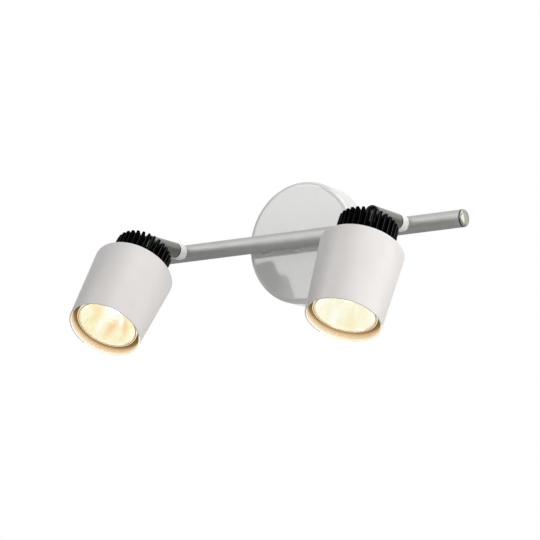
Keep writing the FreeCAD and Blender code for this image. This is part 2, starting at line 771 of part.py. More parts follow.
def collar(name, side):
    """White spacer ring with a narrower neck that sits on the bar."""
    body = new_body("collar_" + name)
    inner = "bolt_diameter / 2 + face_clearance"
    neck = "collar_neck_diameter / 2"
    outer = "collar_diameter / 2"
    back = "collar_back_distance"
    revolve(body, "ring", [(inner, "0"), (neck, "0"), (neck, back), (outer, back), (outer, "arm_back"),
                           (inner, "arm_back")])
    round_edges(body, "front_edge", "collar_edge_radius", circle_edge(size(outer), size("arm_back")))
    round_edges(body, "back_edge", "collar_edge_radius", circle_edge(size(outer), size(back)))
    saddle = circles(body, "saddle_circle", "YZ_Plane", [("bar_diameter + 2 * running_clearance", "0", "0")])
    pocket(body, "saddle", saddle)
    return keep(body, "collar_" + name, arm_place(side))


ARM_START = "( arm_back + face_clearance )"


def arm_tube(name, side):
    body = new_body("arm_tube_" + name)
    outer = "arm_diameter / 2"
    inner = "arm_diameter / 2 - arm_wall"
    mouth = "arm_mouth_distance"
    revolve(body, "tube", [(inner, ARM_START), (outer, ARM_START), (outer, mouth), (inner, mouth)])
    round_edges(body, "back_edge", "arm_edge_radius", circle_edge(size(outer), size(ARM_START)))
    slot_half = "( lug_gap / 2 + lug_thickness + loose_clearance )"
    slot_end = PIVOT_OUT + " - fork_width / 2 - loose_clearance"
    beyond = "arm_mouth_distance + cut_overshoot"
    points = [("-1 * " + slot_half, slot_end), (slot_half, slot_end), (slot_half, beyond),
              ("-1 * " + slot_half, beyond)]
    under = outline(body, "slot_outline", "XZ_Plane", points)
    pocket(body, "fork_slot", under, "arm_diameter", reverse=True)
    hole = circles(body, "pin_circle", "YZ_Plane", [("pin_diameter + 2 * running_clearance", "0", PIVOT_OUT)])
    pocket(body, "pin_hole", hole)
    return keep(body, "arm_tube_" + name, arm_place(side))


def arm_plug(name, side):
    disc = cylinder("plug_disc_" + name, "arm_diameter - 2 * arm_wall - 2 * running_clearance",
                    "plug_thickness", "0", "0", ARM_START)
    bore = cylinder("plug_bore_" + name, "bolt_diameter + 2 * running_clearance", "arm_mouth_distance",
                    "0", "0", "0")
    return keep(cut("plug_cut_" + name, disc, bore), "arm_plug_" + name, arm_place(side))


def tilt_pin(name, side):
    """Plain cross pin whose ends stay just below the tube's surface."""
    half = "( arm_diameter / 2 - pin_inset )"
    blank = cylinder("pin_blank_" + name, "pin_diameter", "2 * " + half, "-1 * " + half, "0", PIVOT_OUT,
                     TO_RIGHT)
    return keep(group("pin_single_" + name, [blank]), "tilt_pin_" + name, arm_place(side))


LUG_OUTSIDE = "( lug_gap / 2 + lug_thickness )"


def tilt_spacers(name, side):
    rings = []
    right = LUG_OUTSIDE + " + running_clearance"
    left = "-1 * " + LUG_OUTSIDE + " - running_clearance - spacer_thickness"
    for end, place in (("right", right), ("left", left)):
        outer = cylinder("spacer_outer_%s_%s" % (end, name), "spacer_diameter", "spacer_thickness",
                         place, "0", PIVOT_OUT, TO_RIGHT)
        bore = cylinder("spacer_bore_%s_%s" % (end, name), "pin_diameter + 2 * running_clearance",
                        "arm_diameter", "-arm_diameter / 2", "0", PIVOT_OUT, TO_RIGHT)
        rings.append(cut("spacer_%s_%s" % (end, name), outer, bore))
    return keep(group("spacer_pair_" + name, rings), "tilt_spacers_" + name, arm_place(side))


def lead_radius():
    return size("lead_diameter / 2")


def supply_lead(name, side):
    """From the terminal block up behind the bar's nipple, along the bar and out through the swivel bolt."""
    step = side * size("lead_side_step")
    entry = side * size("pole_pitch")
    drop = size(BLOCK_TOP)
    back = -size(POLE_OUT)
    along = -size(BAR_OUT)
    far = side * size(ARM_SIDE)
    points = [FreeCAD.Vector(entry, back, drop - size("lead_entry")),
              FreeCAD.Vector(entry, back, drop + size("block_gap") * 0.6),
              FreeCAD.Vector(step, back, drop * 0.35),
              FreeCAD.Vector(step, back, 0),
              FreeCAD.Vector(step, along, 0),
              FreeCAD.Vector(far, along, 0),
              FreeCAD.Vector(far, along - size(BOLT_END), 0)]
    bend = size("lead_bend")
    edges = rounded_path(points, [bend, bend, bend, bend, bend])
    return tube_along("supply_lead_" + name, edges, size("lead_diameter"), FreeCAD.Placement())


def arm_lead(name, side):
    """Inside the arm: from the swivel bolt up to its place above the cross pin."""
    start = size(BOLT_END + " + 2 * face_clearance")
    finish = size(PIVOT_OUT + " - fork_width / 2 - face_clearance")
    rise = size("lead_wrap")
    points = [FreeCAD.Vector(0, 0, start), FreeCAD.Vector(0, 0, start + (finish - start) * 0.3),
              FreeCAD.Vector(0, rise, start + (finish - start) * 0.75), FreeCAD.Vector(0, rise, finish)]
    bend = size("lead_bend") * 3
    edges = rounded_path(points, [bend, bend])
    return tube_along("arm_lead_" + name, edges, size("lead_diameter"), arm_place(side))


def head_lead(name, side):
    """Over the cross pin, down between the fork's lugs and through the rear cap to the lampholder."""
    tilt = math.radians(size("tilt_angle_" + name))
    wrap = size("lead_wrap")
    pivot = FreeCAD.Vector(0, -size("fork_offset"), -size("seat_drop"))
    forward = FreeCAD.Vector(0, math.sin(tilt), math.cos(tilt))
    upward = FreeCAD.Vector(0, math.cos(tilt), -math.sin(tilt))
    middle = FreeCAD.Vector(0, math.cos(tilt / 2), -math.sin(tilt / 2))
    top = pivot.add(upward.multiply(wrap))
    behind = top.sub(forward.multiply(size("fork_width / 2")))
    crest = pivot.add(middle.multiply(wrap))
    side_point = pivot.add(FreeCAD.Vector(0, wrap, 0))
    foot = FreeCAD.Vector(0, side_point.y, size("shade_rear_wall - face_clearance"))
    edges = [Part.LineSegment(behind, top).toShape(), Part.Arc(top, crest, side_point).toShape(),
             Part.LineSegment(side_point, foot).toShape()]
    return tube_along("head_lead_" + name, edges, size("lead_diameter"), head_place(name, side))


LEAD_HOLE = "( lead_diameter + 2 * loose_clearance )"
LEAD_RISE = "( lead_wrap - fork_offset )"


def fin_cap(name, side):
    """Black rear cap: hollow core, flange, a ring of fins, and a roof that takes the fork's tenons."""
    body = new_body("fin_cap_" + name)
    core = "cap_core_diameter / 2"
    hollow = "cap_core_diameter / 2 - cap_core_wall"
    ring = "fin_ring_diameter / 2"
    ceiling = "-cap_core_height + cap_core_wall"
    roof = "-cap_core_height"
    flange = "-cap_flange_thickness"
    revolve(body, "core", [("0", roof), (core, roof), (core, flange), (ring, flange), (ring, "0"),
                           (hollow, "0"), (hollow, ceiling), ("0", ceiling)])
    add_bosses(body)
    add_fins(body)
    tenon_hole = "fork_tenon_diameter + 2 * running_clearance"
    roof_holes = [(LEAD_HOLE, "0", LEAD_RISE), (tenon_hole, "fork_tenon_spacing / 2", "-fork_offset"),
                  (tenon_hole, "-fork_tenon_spacing / 2", "-fork_offset")]
    pocket(body, "roof_holes", circles(body, "roof_circles", "XY_Plane", roof_holes),
           "cap_core_height + cut_overshoot")
    return keep(body, "fin_cap_" + name, head_place(name, side))


def add_bosses(body):
    high = "cap_screw_spacing / 2"
    low = "-cap_screw_spacing / 2"
    rounds = [("cap_boss_diameter", "0", high), ("cap_boss_diameter", "0", low)]
    pad(body, "bosses", circles(body, "boss_circles", "XY_Plane", rounds),
        "cap_core_height - cap_core_wall / 2", reverse=True)
    hole = "cap_screw_diameter + 2 * running_clearance"
    rounds = [(hole, "0", high), (hole, "0", low)]
    pocket(body, "boss_holes", circles(body, "boss_hole_circles", "XY_Plane", rounds),
           "cap_screw_reach + cut_overshoot")


def add_fins(body):
    inner = "cap_core_diameter / 2 - cap_core_wall"
    outer = "fin_ring_diameter / 2"
    top = "-fin_height"
    ledge = "-fin_height + fin_corner_radius"
    floor = "-cap_core_height + cap_core_wall / 2"
    low = "-cap_flange_thickness / 2"
    root = "cap_core_diameter / 2 - cap_core_wall / 2"
    points = [(inner, top), (outer + " - fin_corner_radius", top), (outer, ledge), (outer, low), (root, low),
              (root, floor), (inner, floor)]
    sketch = outline(body, "fin_outline", "XZ_Plane", points, {1: ("fin_corner_radius", -1)})
    fin = pad(body, "fin", sketch, "fin_thickness", both_ways=True)
    pattern = body.newObject("PartDesign::PolarPattern", "fins")
    pattern.Originals = [fin]
    pattern.Axis = (origin_plane(body, "Z_Axis"), [""])
    pattern.Angle = 360
    set_sizes(pattern, Occurrences="fin_count")
    body.Tip = pattern
    document.recompute()
    return pattern


def tilt_fork(name, side):
    """Black steel fork: a base on the cap's roof, two lugs for the cross pin, two tenons peened inside."""
    body = new_body("tilt_fork_" + name)
    left = "-fork_offset - fork_width / 2"
    right = "-fork_offset + fork_width / 2"
    foot = "-cap_core_height"
    plate = "-cap_core_height - fork_base_thickness"
    pivot = "-seat_drop"
    base = outline(body, "base_outline", "YZ_Plane",
                   [(left, foot), (left, plate), (right, plate), (right, foot)])
    pad(body, "base", base, "fork_base_length", both_ways=True)
    lugs = outline(body, "lug_outline", "YZ_Plane",
                   [(left, foot), (left, pivot), (right, pivot), (right, foot)])
    pad(body, "lugs", lugs, "lug_gap + 2 * lug_thickness", both_ways=True)
    tip = circles(body, "lug_tip_circle", "YZ_Plane", [("fork_width", "-fork_offset", pivot)])
    pad(body, "lug_tips", tip, "lug_gap + 2 * lug_thickness", both_ways=True)
    half = "lug_gap / 2"
    beyond = "-seat_drop - fork_width"
    gap = outline(body, "gap_outline", "XZ_Plane", [("-" + half, beyond), (half, beyond), (half, plate),
                                                    ("-" + half, plate)])
    pocket(body, "lug_gap", gap)
    pin_hole = circles(body, "pin_hole_circle", "YZ_Plane",
                       [("pin_diameter + 2 * running_clearance", "-fork_offset", pivot)])
    pocket(body, "pin_holes", pin_hole)
    lead = circles(body, "lead_circle", "XY_Plane", [(LEAD_HOLE, "0", LEAD_RISE)])
    pocket(body, "lead_hole", lead, "cap_core_height + fork_base_thickness + cut_overshoot")
    return keep(with_tenons(body, name), "tilt_fork_" + name, head_place(name, side))


def with_tenons(body, name):
    """Adds the fork's two round tenons and their peened heads under the cap's roof."""
    solids = [body]
    under = "-cap_core_height + cap_core_wall + running_clearance"
    for end, place in (("right", "fork_tenon_spacing / 2"), ("left", "-fork_tenon_spacing / 2")):
        solids.append(cylinder("tenon_%s_%s" % (end, name), "fork_tenon_diameter",
                               "cap_core_wall + fork_base_thickness / 2 + fork_tenon_head_height / 2",
                               place, "-fork_offset", "-cap_core_height - fork_base_thickness / 2"))
        solids.append(cylinder("tenon_head_%s_%s" % (end, name), "fork_tenon_head", "fork_tenon_head_height",
                               place, "-fork_offset", under))
    return joined("fork_whole_" + name, solids)


def shade(name, side):
    body = new_body("shade_" + name)
    rear = "shade_rear_diameter / 2"
    front = "shade_front_diameter / 2"
    hole = "shade_lead_hole / 2"
    points = [(hole, "0"), (rear, "0"), (front, SHADE_END), (front + " - shade_wall", SHADE_END),
              (rear + " - shade_wall", "shade_rear_wall"), (hole, "shade_rear_wall")]
    revolve(body, "cup", points)
    round_edges(body, "rear_edge", "shade_edge_radius", circle_edge(size(rear), 0.0))
    screw = "cap_screw_diameter + 4 * face_clearance"
    rounds = [(screw, "0", "cap_screw_spacing / 2"), (screw, "0", "-cap_screw_spacing / 2")]
    pocket(body, "screw_holes", circles(body, "screw_circles", "XY_Plane", rounds))
    return keep(body, "shade_" + name, head_place(name, side))


def cap_screws(name, side):
    screws = []
    for end, place in (("top", "cap_screw_spacing / 2"), ("under", "-cap_screw_spacing / 2")):
        shank = cylinder("shank_%s_%s" % (end, name), "cap_screw_diameter",
                         "cap_screw_reach + cap_screw_seat + cap_screw_head_height / 2",
                         "0", place, "-cap_screw_reach")
        head = cylinder("head_%s_%s" % (end, name), "cap_screw_head", "cap_screw_head_height",
                        "0", place, "cap_screw_seat + running_clearance")
        screws.append(joined("cap_screw_%s_%s" % (end, name), [shank, head]))
    return keep(group("cap_screw_pair_" + name, screws), "cap_screws_" + name, head_place(name, side))


def lampholder(name, side):
    body = new_body("lampholder_" + name)
    disc = circles(body, "disc_circle", "XY_Plane", [("holder_diameter", "0", "0")])
    pad(body, "disc", disc, HOLDER_END)
    under = circles(body, "under_circle", "XY_Plane", [("holder_diameter + 2 * cut_overshoot", "0", "0")])
    pocket(body, "under", under, HOLDER_START, reverse=True)
    screw = "cap_screw_diameter + 4 * face_clearance"
    rounds = [(screw, "0", "cap_screw_spacing / 2"), (screw, "0", "-cap_screw_spacing / 2")]
    pocket(body, "screw_holes", circles(body, "screw_circles", "XY_Plane", rounds))
    return keep(holder_holes(body, name), "lampholder_" + name, head_place(name, side))


def holder_holes(body, name):
    """Pin holes and screw recesses, open towards the lamp."""
    tools = []
    for end, place in (("right", "holder_pin_pitch / 2"), ("left", "-holder_pin_pitch / 2")):
        tools.append(cylinder("pin_hole_%s_%s" % (end, name), "holder_pin_hole", "holder_height",
                              place, "0", PIN_TIP + " - contact_height - 3 * face_clearance"))
    for end, place in (("top", "cap_screw_spacing / 2"), ("under", "-cap_screw_spacing / 2")):
        tools.append(cylinder("recess_%s_%s" % (end, name), "cap_screw_head + 4 * face_clearance",
                              "holder_height", "0", place, "cap_screw_seat"))
    return cut("holder_cut_" + name, body, joined("holder_tools_" + name, tools))


def holder_contacts(name, side):
    discs = []
    for end, place in (("right", "holder_pin_pitch / 2"), ("left", "-holder_pin_pitch / 2")):
        discs.append(cylinder("contact_%s_%s" % (end, name), "holder_pin_hole - 4 * face_clearance",
                              "contact_height", place, "0",
                              PIN_TIP + " - contact_height - 2 * face_clearance"))
    return keep(group("contact_pair_" + name, discs), "holder_contacts_" + name, head_place(name, side))


def lamp_pins(name, side):
    pins = []
    for end, place in (("right", "holder_pin_pitch / 2"), ("left", "-holder_pin_pitch / 2")):
        shank = cylinder("pin_shank_%s_%s" % (end, name), "lamp_pin_diameter",
                         "lamp_pin_length - running_clearance", place, "0", PIN_TIP)
        head = cylinder("pin_head_%s_%s" % (end, name), "lamp_pin_head", "lamp_pin_head_height",
                        place, "0", PIN_TIP)
        pins.append(joined("pin_%s_%s" % (end, name), [shank, head]))
    return keep(group("pin_pair_" + name, pins), "lamp_pins_" + name, head_place(name, side))


def lamp_base(name, side):
    body = new_body("lamp_base_" + name)
    wide = "lamp_base_diameter / 2"
    neck = "lamp_base_neck / 2"
    points = [("0", PIN_ROOT), (wide, PIN_ROOT), (wide, PIN_ROOT + " + 4"), (neck, PIN_ROOT + " + 8"),
              (neck, BASE_END), ("0", BASE_END)]
    revolve(body, "base", points)
    return keep(body, "lamp_base_" + name, head_place(name, side))


def lamp_reflector(name, side):
    """Glass bowl that holds the base in its neck and the front glass in a step of its rim."""
    body = new_body("lamp_reflector_" + name)
    seat = "lamp_base_neck / 2 + running_clearance"
    neck = "reflector_neck / 2"
    rim = "lamp_diameter / 2"
    bowl = "lamp_diameter / 2 - reflector_wall / 2"
    step = GLASS_RADIUS + " + face_clearance"
    inside = GLASS_RADIUS + " - reflector_wall"
    back = BASE_END + " - reflector_grip"
    shoulder = LAMP_FRONT + " - lamp_rim_height"
    ledge = LAMP_FRONT + " - lamp_glass_thickness - face_clearance"
    bulge = BASE_END + " - reflector_step"
    points = [(seat, back), (neck, back), (neck, bulge), (bowl, shoulder), (rim, shoulder), (rim, LAMP_FRONT),
              (step, LAMP_FRONT), (step, ledge), (inside, ledge), (seat, BASE_END)]
    arcs = {2: ("reflector_bulge", -1), 8: ("reflector_bulge", 1)}
    revolve(body, "bowl", points, arcs)
    return keep(body, "lamp_reflector_" + name, head_place(name, side))


def lamp_glass(name, side):
    body = new_body("lamp_glass_" + name)
    back = LAMP_FRONT + " - lamp_glass_thickness - running_clearance"
    front = LAMP_FRONT + " - running_clearance"
    revolve(body, "disc", [("0", back), (GLASS_RADIUS, back), (GLASS_RADIUS, front), ("0", front)])
    return keep(body, "lamp_glass_" + name, head_place(name, side))


def lamp_capsule(name, side):
    straight = "capsule_length - capsule_diameter / 2"
    bottom = BASE_END + " + running_clearance"
    tube = cylinder("capsule_tube_" + name, "capsule_diameter", straight, "0", "0", bottom)
    dome = helper("Part::Sphere", "capsule_dome_" + name)
    set_sizes(dome, Radius="capsule_diameter / 2")
    at(dome, "0", "0", bottom + " + " + straight)
    return keep(joined("capsule_whole_" + name, [tube, dome]), "lamp_capsule_" + name, head_place(name, side))


ROOT_MAKERS = (wall_bracket, inlet_grommet, canopy, canopy_studs, cap_nuts, terminal_block,
               terminal_tubes, terminal_screws, block_screw, earth_screw, bar_nipple, nipple_nut,
               bar_seat, bar_tube, centre_nut, wave_washers)
SIDE_MAKERS = (end_cap, barrel_nut, swivel_bolt, collar, supply_lead,
               arm_tube, arm_plug, tilt_pin, tilt_spacers, arm_lead,
               fin_cap, tilt_fork, shade, cap_screws, lampholder, holder_contacts, lamp_pins, lamp_base,
               lamp_reflector, lamp_glass, lamp_capsule, head_lead)


def check_everything():
    for thing in document.Objects:
        if "Invalid" in thing.State or "Error" in thing.State:
            raise ValueError("%s (%s) failed: %s" % (thing.Name, thing.Label, thing.State))
    for part in parts:
        if part.Shape.isNull() or not part.Shape.isValid() or part.Shape.Volume <= 0:
            raise ValueError(part.Label + " has no valid shape")


def main():
    fill_sheet()
    for make in ROOT_MAKERS:
        make()
    for name, side in SIDES:
        for make in SIDE_MAKERS:
            make(name, side)
    document.recompute()
    check_everything()
    os.makedirs("parts", exist_ok=True)
    for part in parts:
        part.Shape.exportStep("parts/%s.step" % part.Label)
        box_of = part.Shape.BoundBox
        print("%-22s %d solid(s) %9.1f mm3  x %.1f..%.1f  y %.1f..%.1f  z %.1f..%.1f"
              % (part.Label, len(part.Shape.Solids), part.Shape.Volume, box_of.XMin, box_of.XMax,
                 box_of.YMin, box_of.YMax, box_of.ZMin, box_of.ZMax))


main()
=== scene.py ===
import math

import bmesh
import bpy
from mathutils import Matrix, Vector


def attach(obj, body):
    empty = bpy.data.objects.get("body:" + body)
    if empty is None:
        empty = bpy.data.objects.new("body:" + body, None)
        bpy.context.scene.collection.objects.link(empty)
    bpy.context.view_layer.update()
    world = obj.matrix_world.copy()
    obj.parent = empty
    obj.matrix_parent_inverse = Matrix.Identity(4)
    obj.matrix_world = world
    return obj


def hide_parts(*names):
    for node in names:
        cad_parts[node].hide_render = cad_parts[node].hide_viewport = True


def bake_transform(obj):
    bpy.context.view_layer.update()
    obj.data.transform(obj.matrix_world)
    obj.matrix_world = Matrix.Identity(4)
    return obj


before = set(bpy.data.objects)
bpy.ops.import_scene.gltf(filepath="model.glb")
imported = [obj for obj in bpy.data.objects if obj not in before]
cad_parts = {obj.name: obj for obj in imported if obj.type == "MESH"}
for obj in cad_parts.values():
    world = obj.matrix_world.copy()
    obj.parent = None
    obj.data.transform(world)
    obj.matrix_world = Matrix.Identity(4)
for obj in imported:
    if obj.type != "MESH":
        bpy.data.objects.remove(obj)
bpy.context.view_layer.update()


# The studio: a plain pale floor well below the light, a white surround, soft
# lamps, and the camera that looks up at the light from the right.
MM = 0.001
FLOOR_HEIGHT = -1.25
FLOOR_REACH = 6.0
CAMERA_AZIMUTH = math.radians(32.97)
CAMERA_ELEVATION = math.radians(-10.84)
CAMERA_DISTANCE = 2.2
CAMERA_ASIDE = -36.56 * MM
CAMERA_RISE = -19.12 * MM
LENS = 180.48
AMBIENT = 0.325
SOFTBOX_DISTANCE = 1.7
PANEL_DISTANCE = 1.9
PANEL_WIDTH = 0.76
PURE_WHITE = (1.0, 1.0, 1.0)
WARM_WHITE = (1.0, 0.985, 0.965)

scene = bpy.context.scene
scene.view_settings.view_transform = "Standard"


def join(tree, source, socket):
    """Wires another node's output into a socket, or sets the socket to a plain value."""
    if isinstance(source, bpy.types.NodeSocket):
        tree.links.new(source, socket)
    else:
        socket.default_value = source


def feed(tree, node, **sources):
    """Joins sources to a node's inputs, each named with underscores for spaces."""
    for name, source in sources.items():
        join(tree, source, node.inputs[name.replace("_", " ")])
    return node


def add_node(tree, kind, **sources):
    """A new node with its inputs fed."""
    return feed(tree, tree.nodes.new(kind), **sources)


def reckon(tree, operation, *terms, make="Math", result="Value"):
    """Works a sum out of outputs and plain values, with a Math or VectorMath node."""
    node = tree.nodes.new("ShaderNode" + make)
    node.operation = operation
    for term, socket in zip(terms, node.inputs):
        join(tree, term, socket)
    return node.outputs[result]


def colour_mix(tree, share, under, over, way="MIX"):
    """Mixes two colours, given as outputs or as plain values, by a share."""
    node = tree.nodes.new("ShaderNodeMix")
    node.data_type = "RGBA"
    node.blend_type = way
    feed(tree, node, Factor=share, A=under, B=over)
    return node.outputs["Result"]


def new_material(name, **shader_values):
    """A material with values set on its shader; returns it, its tree and the shader."""
    material = bpy.data.materials.new(name)
    material.use_nodes = True
    shader = material.node_tree.nodes["Principled BSDF"]
    feed(material.node_tree, shader, **shader_values)
    return material, material.node_tree, shader


def direction(azimuth, elevation):
    """Unit vector towards a bearing: 0 is straight out of the wall, 90 is to the right."""
    flat = math.cos(elevation)
    return Vector((math.sin(azimuth) * flat, -math.cos(azimuth) * flat, math.sin(elevation)))


camera_data = bpy.data.cameras.new("photo_camera")
camera_data.lens = LENS
camera_data.sensor_width = 36.0
camera_data.clip_start = 0.05
camera_data.clip_end = 50.0
camera = bpy.data.objects.new("photo_camera", camera_data)
scene.collection.objects.link(camera)
backward = direction(CAMERA_AZIMUTH, CAMERA_ELEVATION)
rightward = Vector((math.cos(CAMERA_AZIMUTH), math.sin(CAMERA_AZIMUTH), 0.0))
upward = backward.cross(rightward)
camera.matrix_world = Matrix((
    (rightward.x, upward.x, backward.x, 0.0),
    (rightward.y, upward.y, backward.y, 0.0),
    (rightward.z, upward.z, backward.z, 0.0),
    (0.0, 0.0, 0.0, 1.0)))
camera.location = backward * CAMERA_DISTANCE + rightward * CAMERA_ASIDE + upward * CAMERA_RISE
scene.camera = camera

world = bpy.data.worlds.new("white_surround")
scene.world = world
world.use_nodes = True
sky = world.node_tree
sky.nodes.clear()
rays = add_node(sky, "ShaderNodeLightPath").outputs
seen_or_mirrored = reckon(sky, "MAXIMUM", rays["Is Camera Ray"], rays["Is Glossy Ray"])
shown_white = reckon(sky, "MAXIMUM", seen_or_mirrored, rays["Is Transmission Ray"])
soft_fill = add_node(sky, "ShaderNodeBackground", Color=(*PURE_WHITE, 1.0), Strength=AMBIENT)
white_wall = add_node(sky, "ShaderNodeBackground", Color=(*PURE_WHITE, 1.0), Strength=1.0)
either = add_node(sky, "ShaderNodeMixShader", Fac=shown_white)
sky.links.new(soft_fill.outputs["Background"], either.inputs[1])
sky.links.new(white_wall.outputs["Background"], either.inputs[2])
add_node(sky, "ShaderNodeOutputWorld", Surface=either.outputs["Shader"])


def soft_lamp(name, azimuth, elevation, distance, width, height, power, tint=PURE_WHITE):
    """A softbox that faces the wall light from a bearing in degrees."""
    data = bpy.data.lights.new(name, "AREA")
    data.shape = "RECTANGLE"
    data.size = width
    data.size_y = height
    data.energy = power
    data.color = tint
    lamp = bpy.data.objects.new(name, data)
    scene.collection.objects.link(lamp)
    towards = direction(math.radians(azimuth), math.radians(elevation))
    lamp.location = towards * distance
    lamp.rotation_euler = towards.to_track_quat("Z", "Y").to_euler()
    return lamp


soft_lamp("right_front_softbox", 60, 0, SOFTBOX_DISTANCE, 1.2, 1.4, 11.6, WARM_WHITE)
soft_lamp("right_back_softbox", 112, 5, SOFTBOX_DISTANCE, 1.2, 1.2, 7.6, WARM_WHITE)
soft_lamp("top_softbox", 66, 64, SOFTBOX_DISTANCE, 1.3, 1.2, 9.4)
for name, aside, rise, height, power in (("mirrored_low_panel", -33, -10.5, 0.62, 3.0),
                                         ("mirrored_panel", -33, 10.8, 0.76, 3.8),
                                         ("mirrored_upper_panel", -33, 16.5, 0.38, 0.45),
                                         ("mirrored_high_panel", -39, 38.0, 0.86, 6.0)):
    panel = soft_lamp(name, aside, rise, PANEL_DISTANCE, PANEL_WIDTH, height, power)
    panel.visible_diffuse = False

floor_mesh = bpy.data.meshes.new("studio_floor")
floor_mesh.from_pydata([(-FLOOR_REACH, -FLOOR_REACH, FLOOR_HEIGHT),
                        (FLOOR_REACH, -FLOOR_REACH, FLOOR_HEIGHT),
                        (FLOOR_REACH, FLOOR_REACH, FLOOR_HEIGHT),
                        (-FLOOR_REACH, FLOOR_REACH, FLOOR_HEIGHT)], [], [(0, 1, 2, 3)])
studio_floor = bpy.data.objects.new("studio_floor", floor_mesh)
scene.collection.objects.link(studio_floor)
floor_paint, floor_tree, floor_shader = new_material("pale_floor", Roughness=0.9)
floor_grain = add_node(floor_tree, "ShaderNodeTexNoise", Scale=9.0)
floor_tone = colour_mix(floor_tree, floor_grain.outputs["Fac"],
                        (0.86, 0.86, 0.85, 1.0), (0.90, 0.90, 0.89, 1.0))
feed(floor_tree, floor_shader, Base_Color=floor_tone)
floor_mesh.materials.append(floor_paint)


# Wall bracket, canopy studs and small screws: a pressed steel strip that lies
# on the wall, with two welded studs, all zinc plated; the earth screw is brass.
def node_group(name, kind, taken, handed):
    """An empty Shader or Geometry group with its two ends; sockets are (label, type)."""
    tree = bpy.data.node_groups.new(name, kind + "NodeTree")
    for way, sockets in (("INPUT", taken), ("OUTPUT", handed)):
        for label, socket_kind in sockets:
            tree.interface.new_socket(label, in_out=way, socket_type="NodeSocket" + socket_kind)
    return tree, add_node(tree, "NodeGroupInput").outputs, add_node(tree, "NodeGroupOutput")


def place_group(tree, group, **sources):
    """A shader group's node in a material."""
    node = tree.nodes.new("ShaderNodeGroup")
    node.node_tree = group
    return feed(tree, node, **sources)


def make_fine_skin():
    """Shader group: patches of tone, and a grain that moves roughness and relief."""
    tree, given, result = node_group(
        "fine_skin", "Shader",
        (("Colour", "Color"), ("Patch Colour", "Color"), ("Patch Scale", "Float"),
         ("Grain Scale", "Float"), ("Roughness Low", "Float"), ("Roughness High", "Float"),
         ("Stretch", "Vector")),
        (("Colour", "Color"), ("Roughness", "Float"), ("Height", "Float")))
    place = add_node(tree, "ShaderNodeTexCoord").outputs["Object"]
    drawn = reckon(tree, "MULTIPLY", place, given["Stretch"], make="VectorMath", result="Vector")
    patches = add_node(tree, "ShaderNodeTexNoise", Vector=place, Scale=given["Patch Scale"],
                       Detail=3.0, Roughness=0.55)
    grain = add_node(tree, "ShaderNodeTexNoise", Vector=drawn, Scale=given["Grain Scale"],
                     Detail=4.0, Roughness=0.6)
    share = add_node(tree, "ShaderNodeMapRange", Value=patches.outputs["Fac"],
                     From_Min=0.35, From_Max=0.68)
    gloss = add_node(tree, "ShaderNodeMapRange", Value=grain.outputs["Fac"],
                     From_Min=0.3, From_Max=0.7,
                     To_Min=given["Roughness Low"], To_Max=given["Roughness High"])
    tone = colour_mix(tree, share.outputs["Result"], given["Colour"], given["Patch Colour"])
    feed(tree, result, Colour=tone, Roughness=gloss.outputs["Result"], Height=grain.outputs["Fac"])
    return tree


fine_skin = make_fine_skin()


def finish(name, colour, patch, patch_size, grain_size, rough, relief, stretch=(1.0, 1.0, 1.0),
           **shader_values):
    """Material with a fine skin; sizes and relief in millimetres, the rest on the shader."""
    material, tree, shader = new_material(name, **shader_values)
    surface = place_group(tree, fine_skin, Colour=(*colour, 1.0), Patch_Colour=(*patch, 1.0),
                          Patch_Scale=1.0 / (patch_size * MM), Grain_Scale=1.0 / (grain_size * MM),
                          Roughness_Low=rough[0], Roughness_High=rough[1], Stretch=stretch)
    bump = add_node(tree, "ShaderNodeBump", Strength=1.0, Distance=relief * MM,
                    Height=surface.outputs["Height"])
    bump.name = "Grain Relief"
    feed(tree, shader, Base_Color=surface.outputs["Colour"],
         Roughness=surface.outputs["Roughness"], Normal=bump.outputs["Normal"])
    return material


def dress(material, *names):
    """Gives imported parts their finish."""
    for name in names:
        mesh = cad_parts[name].data
        mesh.materials.clear()
        mesh.materials.append(material)


zinc_plate = finish("zinc_plate", (0.62, 0.63, 0.62), (0.50, 0.51, 0.50), 6.0, 0.5,
                    (0.28, 0.42), 0.004, Metallic=1.0)
dress(zinc_plate, "wall_bracket", "canopy_studs", "block_screw", "terminal_screws")
brass = finish("turned_brass", (0.78, 0.58, 0.26), (0.66, 0.47, 0.19), 3.0, 0.3,
               (0.22, 0.38), 0.003, Metallic=1.0)
dress(brass, "earth_screw")


# Inlet grommet: a soft black rubber ring, pressed into the bracket's hole
# so that the supply cable doesn't chafe on the steel.
black_rubber = finish("grommet_rubber", (0.028, 0.028, 0.028), (0.045, 0.044, 0.042), 2.5, 0.25,
                      (0.6, 0.8), 0.02)
dress(black_rubber, "inlet_grommet")


# Terminal block: a moulded cream block with three brass tubes, screwed to
# the bracket's tab, where the supply meets the two heads' leads.
block_moulding = finish("block_moulding", (0.78, 0.76, 0.70), (0.70, 0.68, 0.62), 5.0, 0.4,
                        (0.42, 0.55), 0.012)
dress(block_moulding, "terminal_block")
dress(brass, "terminal_tubes")


# Canopy: a spun steel cup with a rolled edge and a very slightly domed face,
# sprayed gloss white and held on the studs by two nuts.
DOME_RADIUS = 650.0 * MM


def make_crowned_face():
    """Shader group: how far a flat face falls from its middle when crowned to a radius."""
    tree, given, result = node_group(
        "crowned_face", "Shader", (("Middle", "Vector"), ("Plane", "Vector"), ("Radius", "Float")),
        (("Height", "Float"),))
    place = add_node(tree, "ShaderNodeTexCoord").outputs["Object"]
    offset = reckon(tree, "SUBTRACT", place, given["Middle"], make="VectorMath", result="Vector")
    across = reckon(tree, "MULTIPLY", offset, given["Plane"], make="VectorMath", result="Vector")
    squared = reckon(tree, "DOT_PRODUCT", across, across, make="VectorMath")
    half_down = reckon(tree, "MULTIPLY", squared, -0.5)
    feed(tree, result, Height=reckon(tree, "DIVIDE", half_down, given["Radius"]))
    return tree


crowned_face = make_crowned_face()


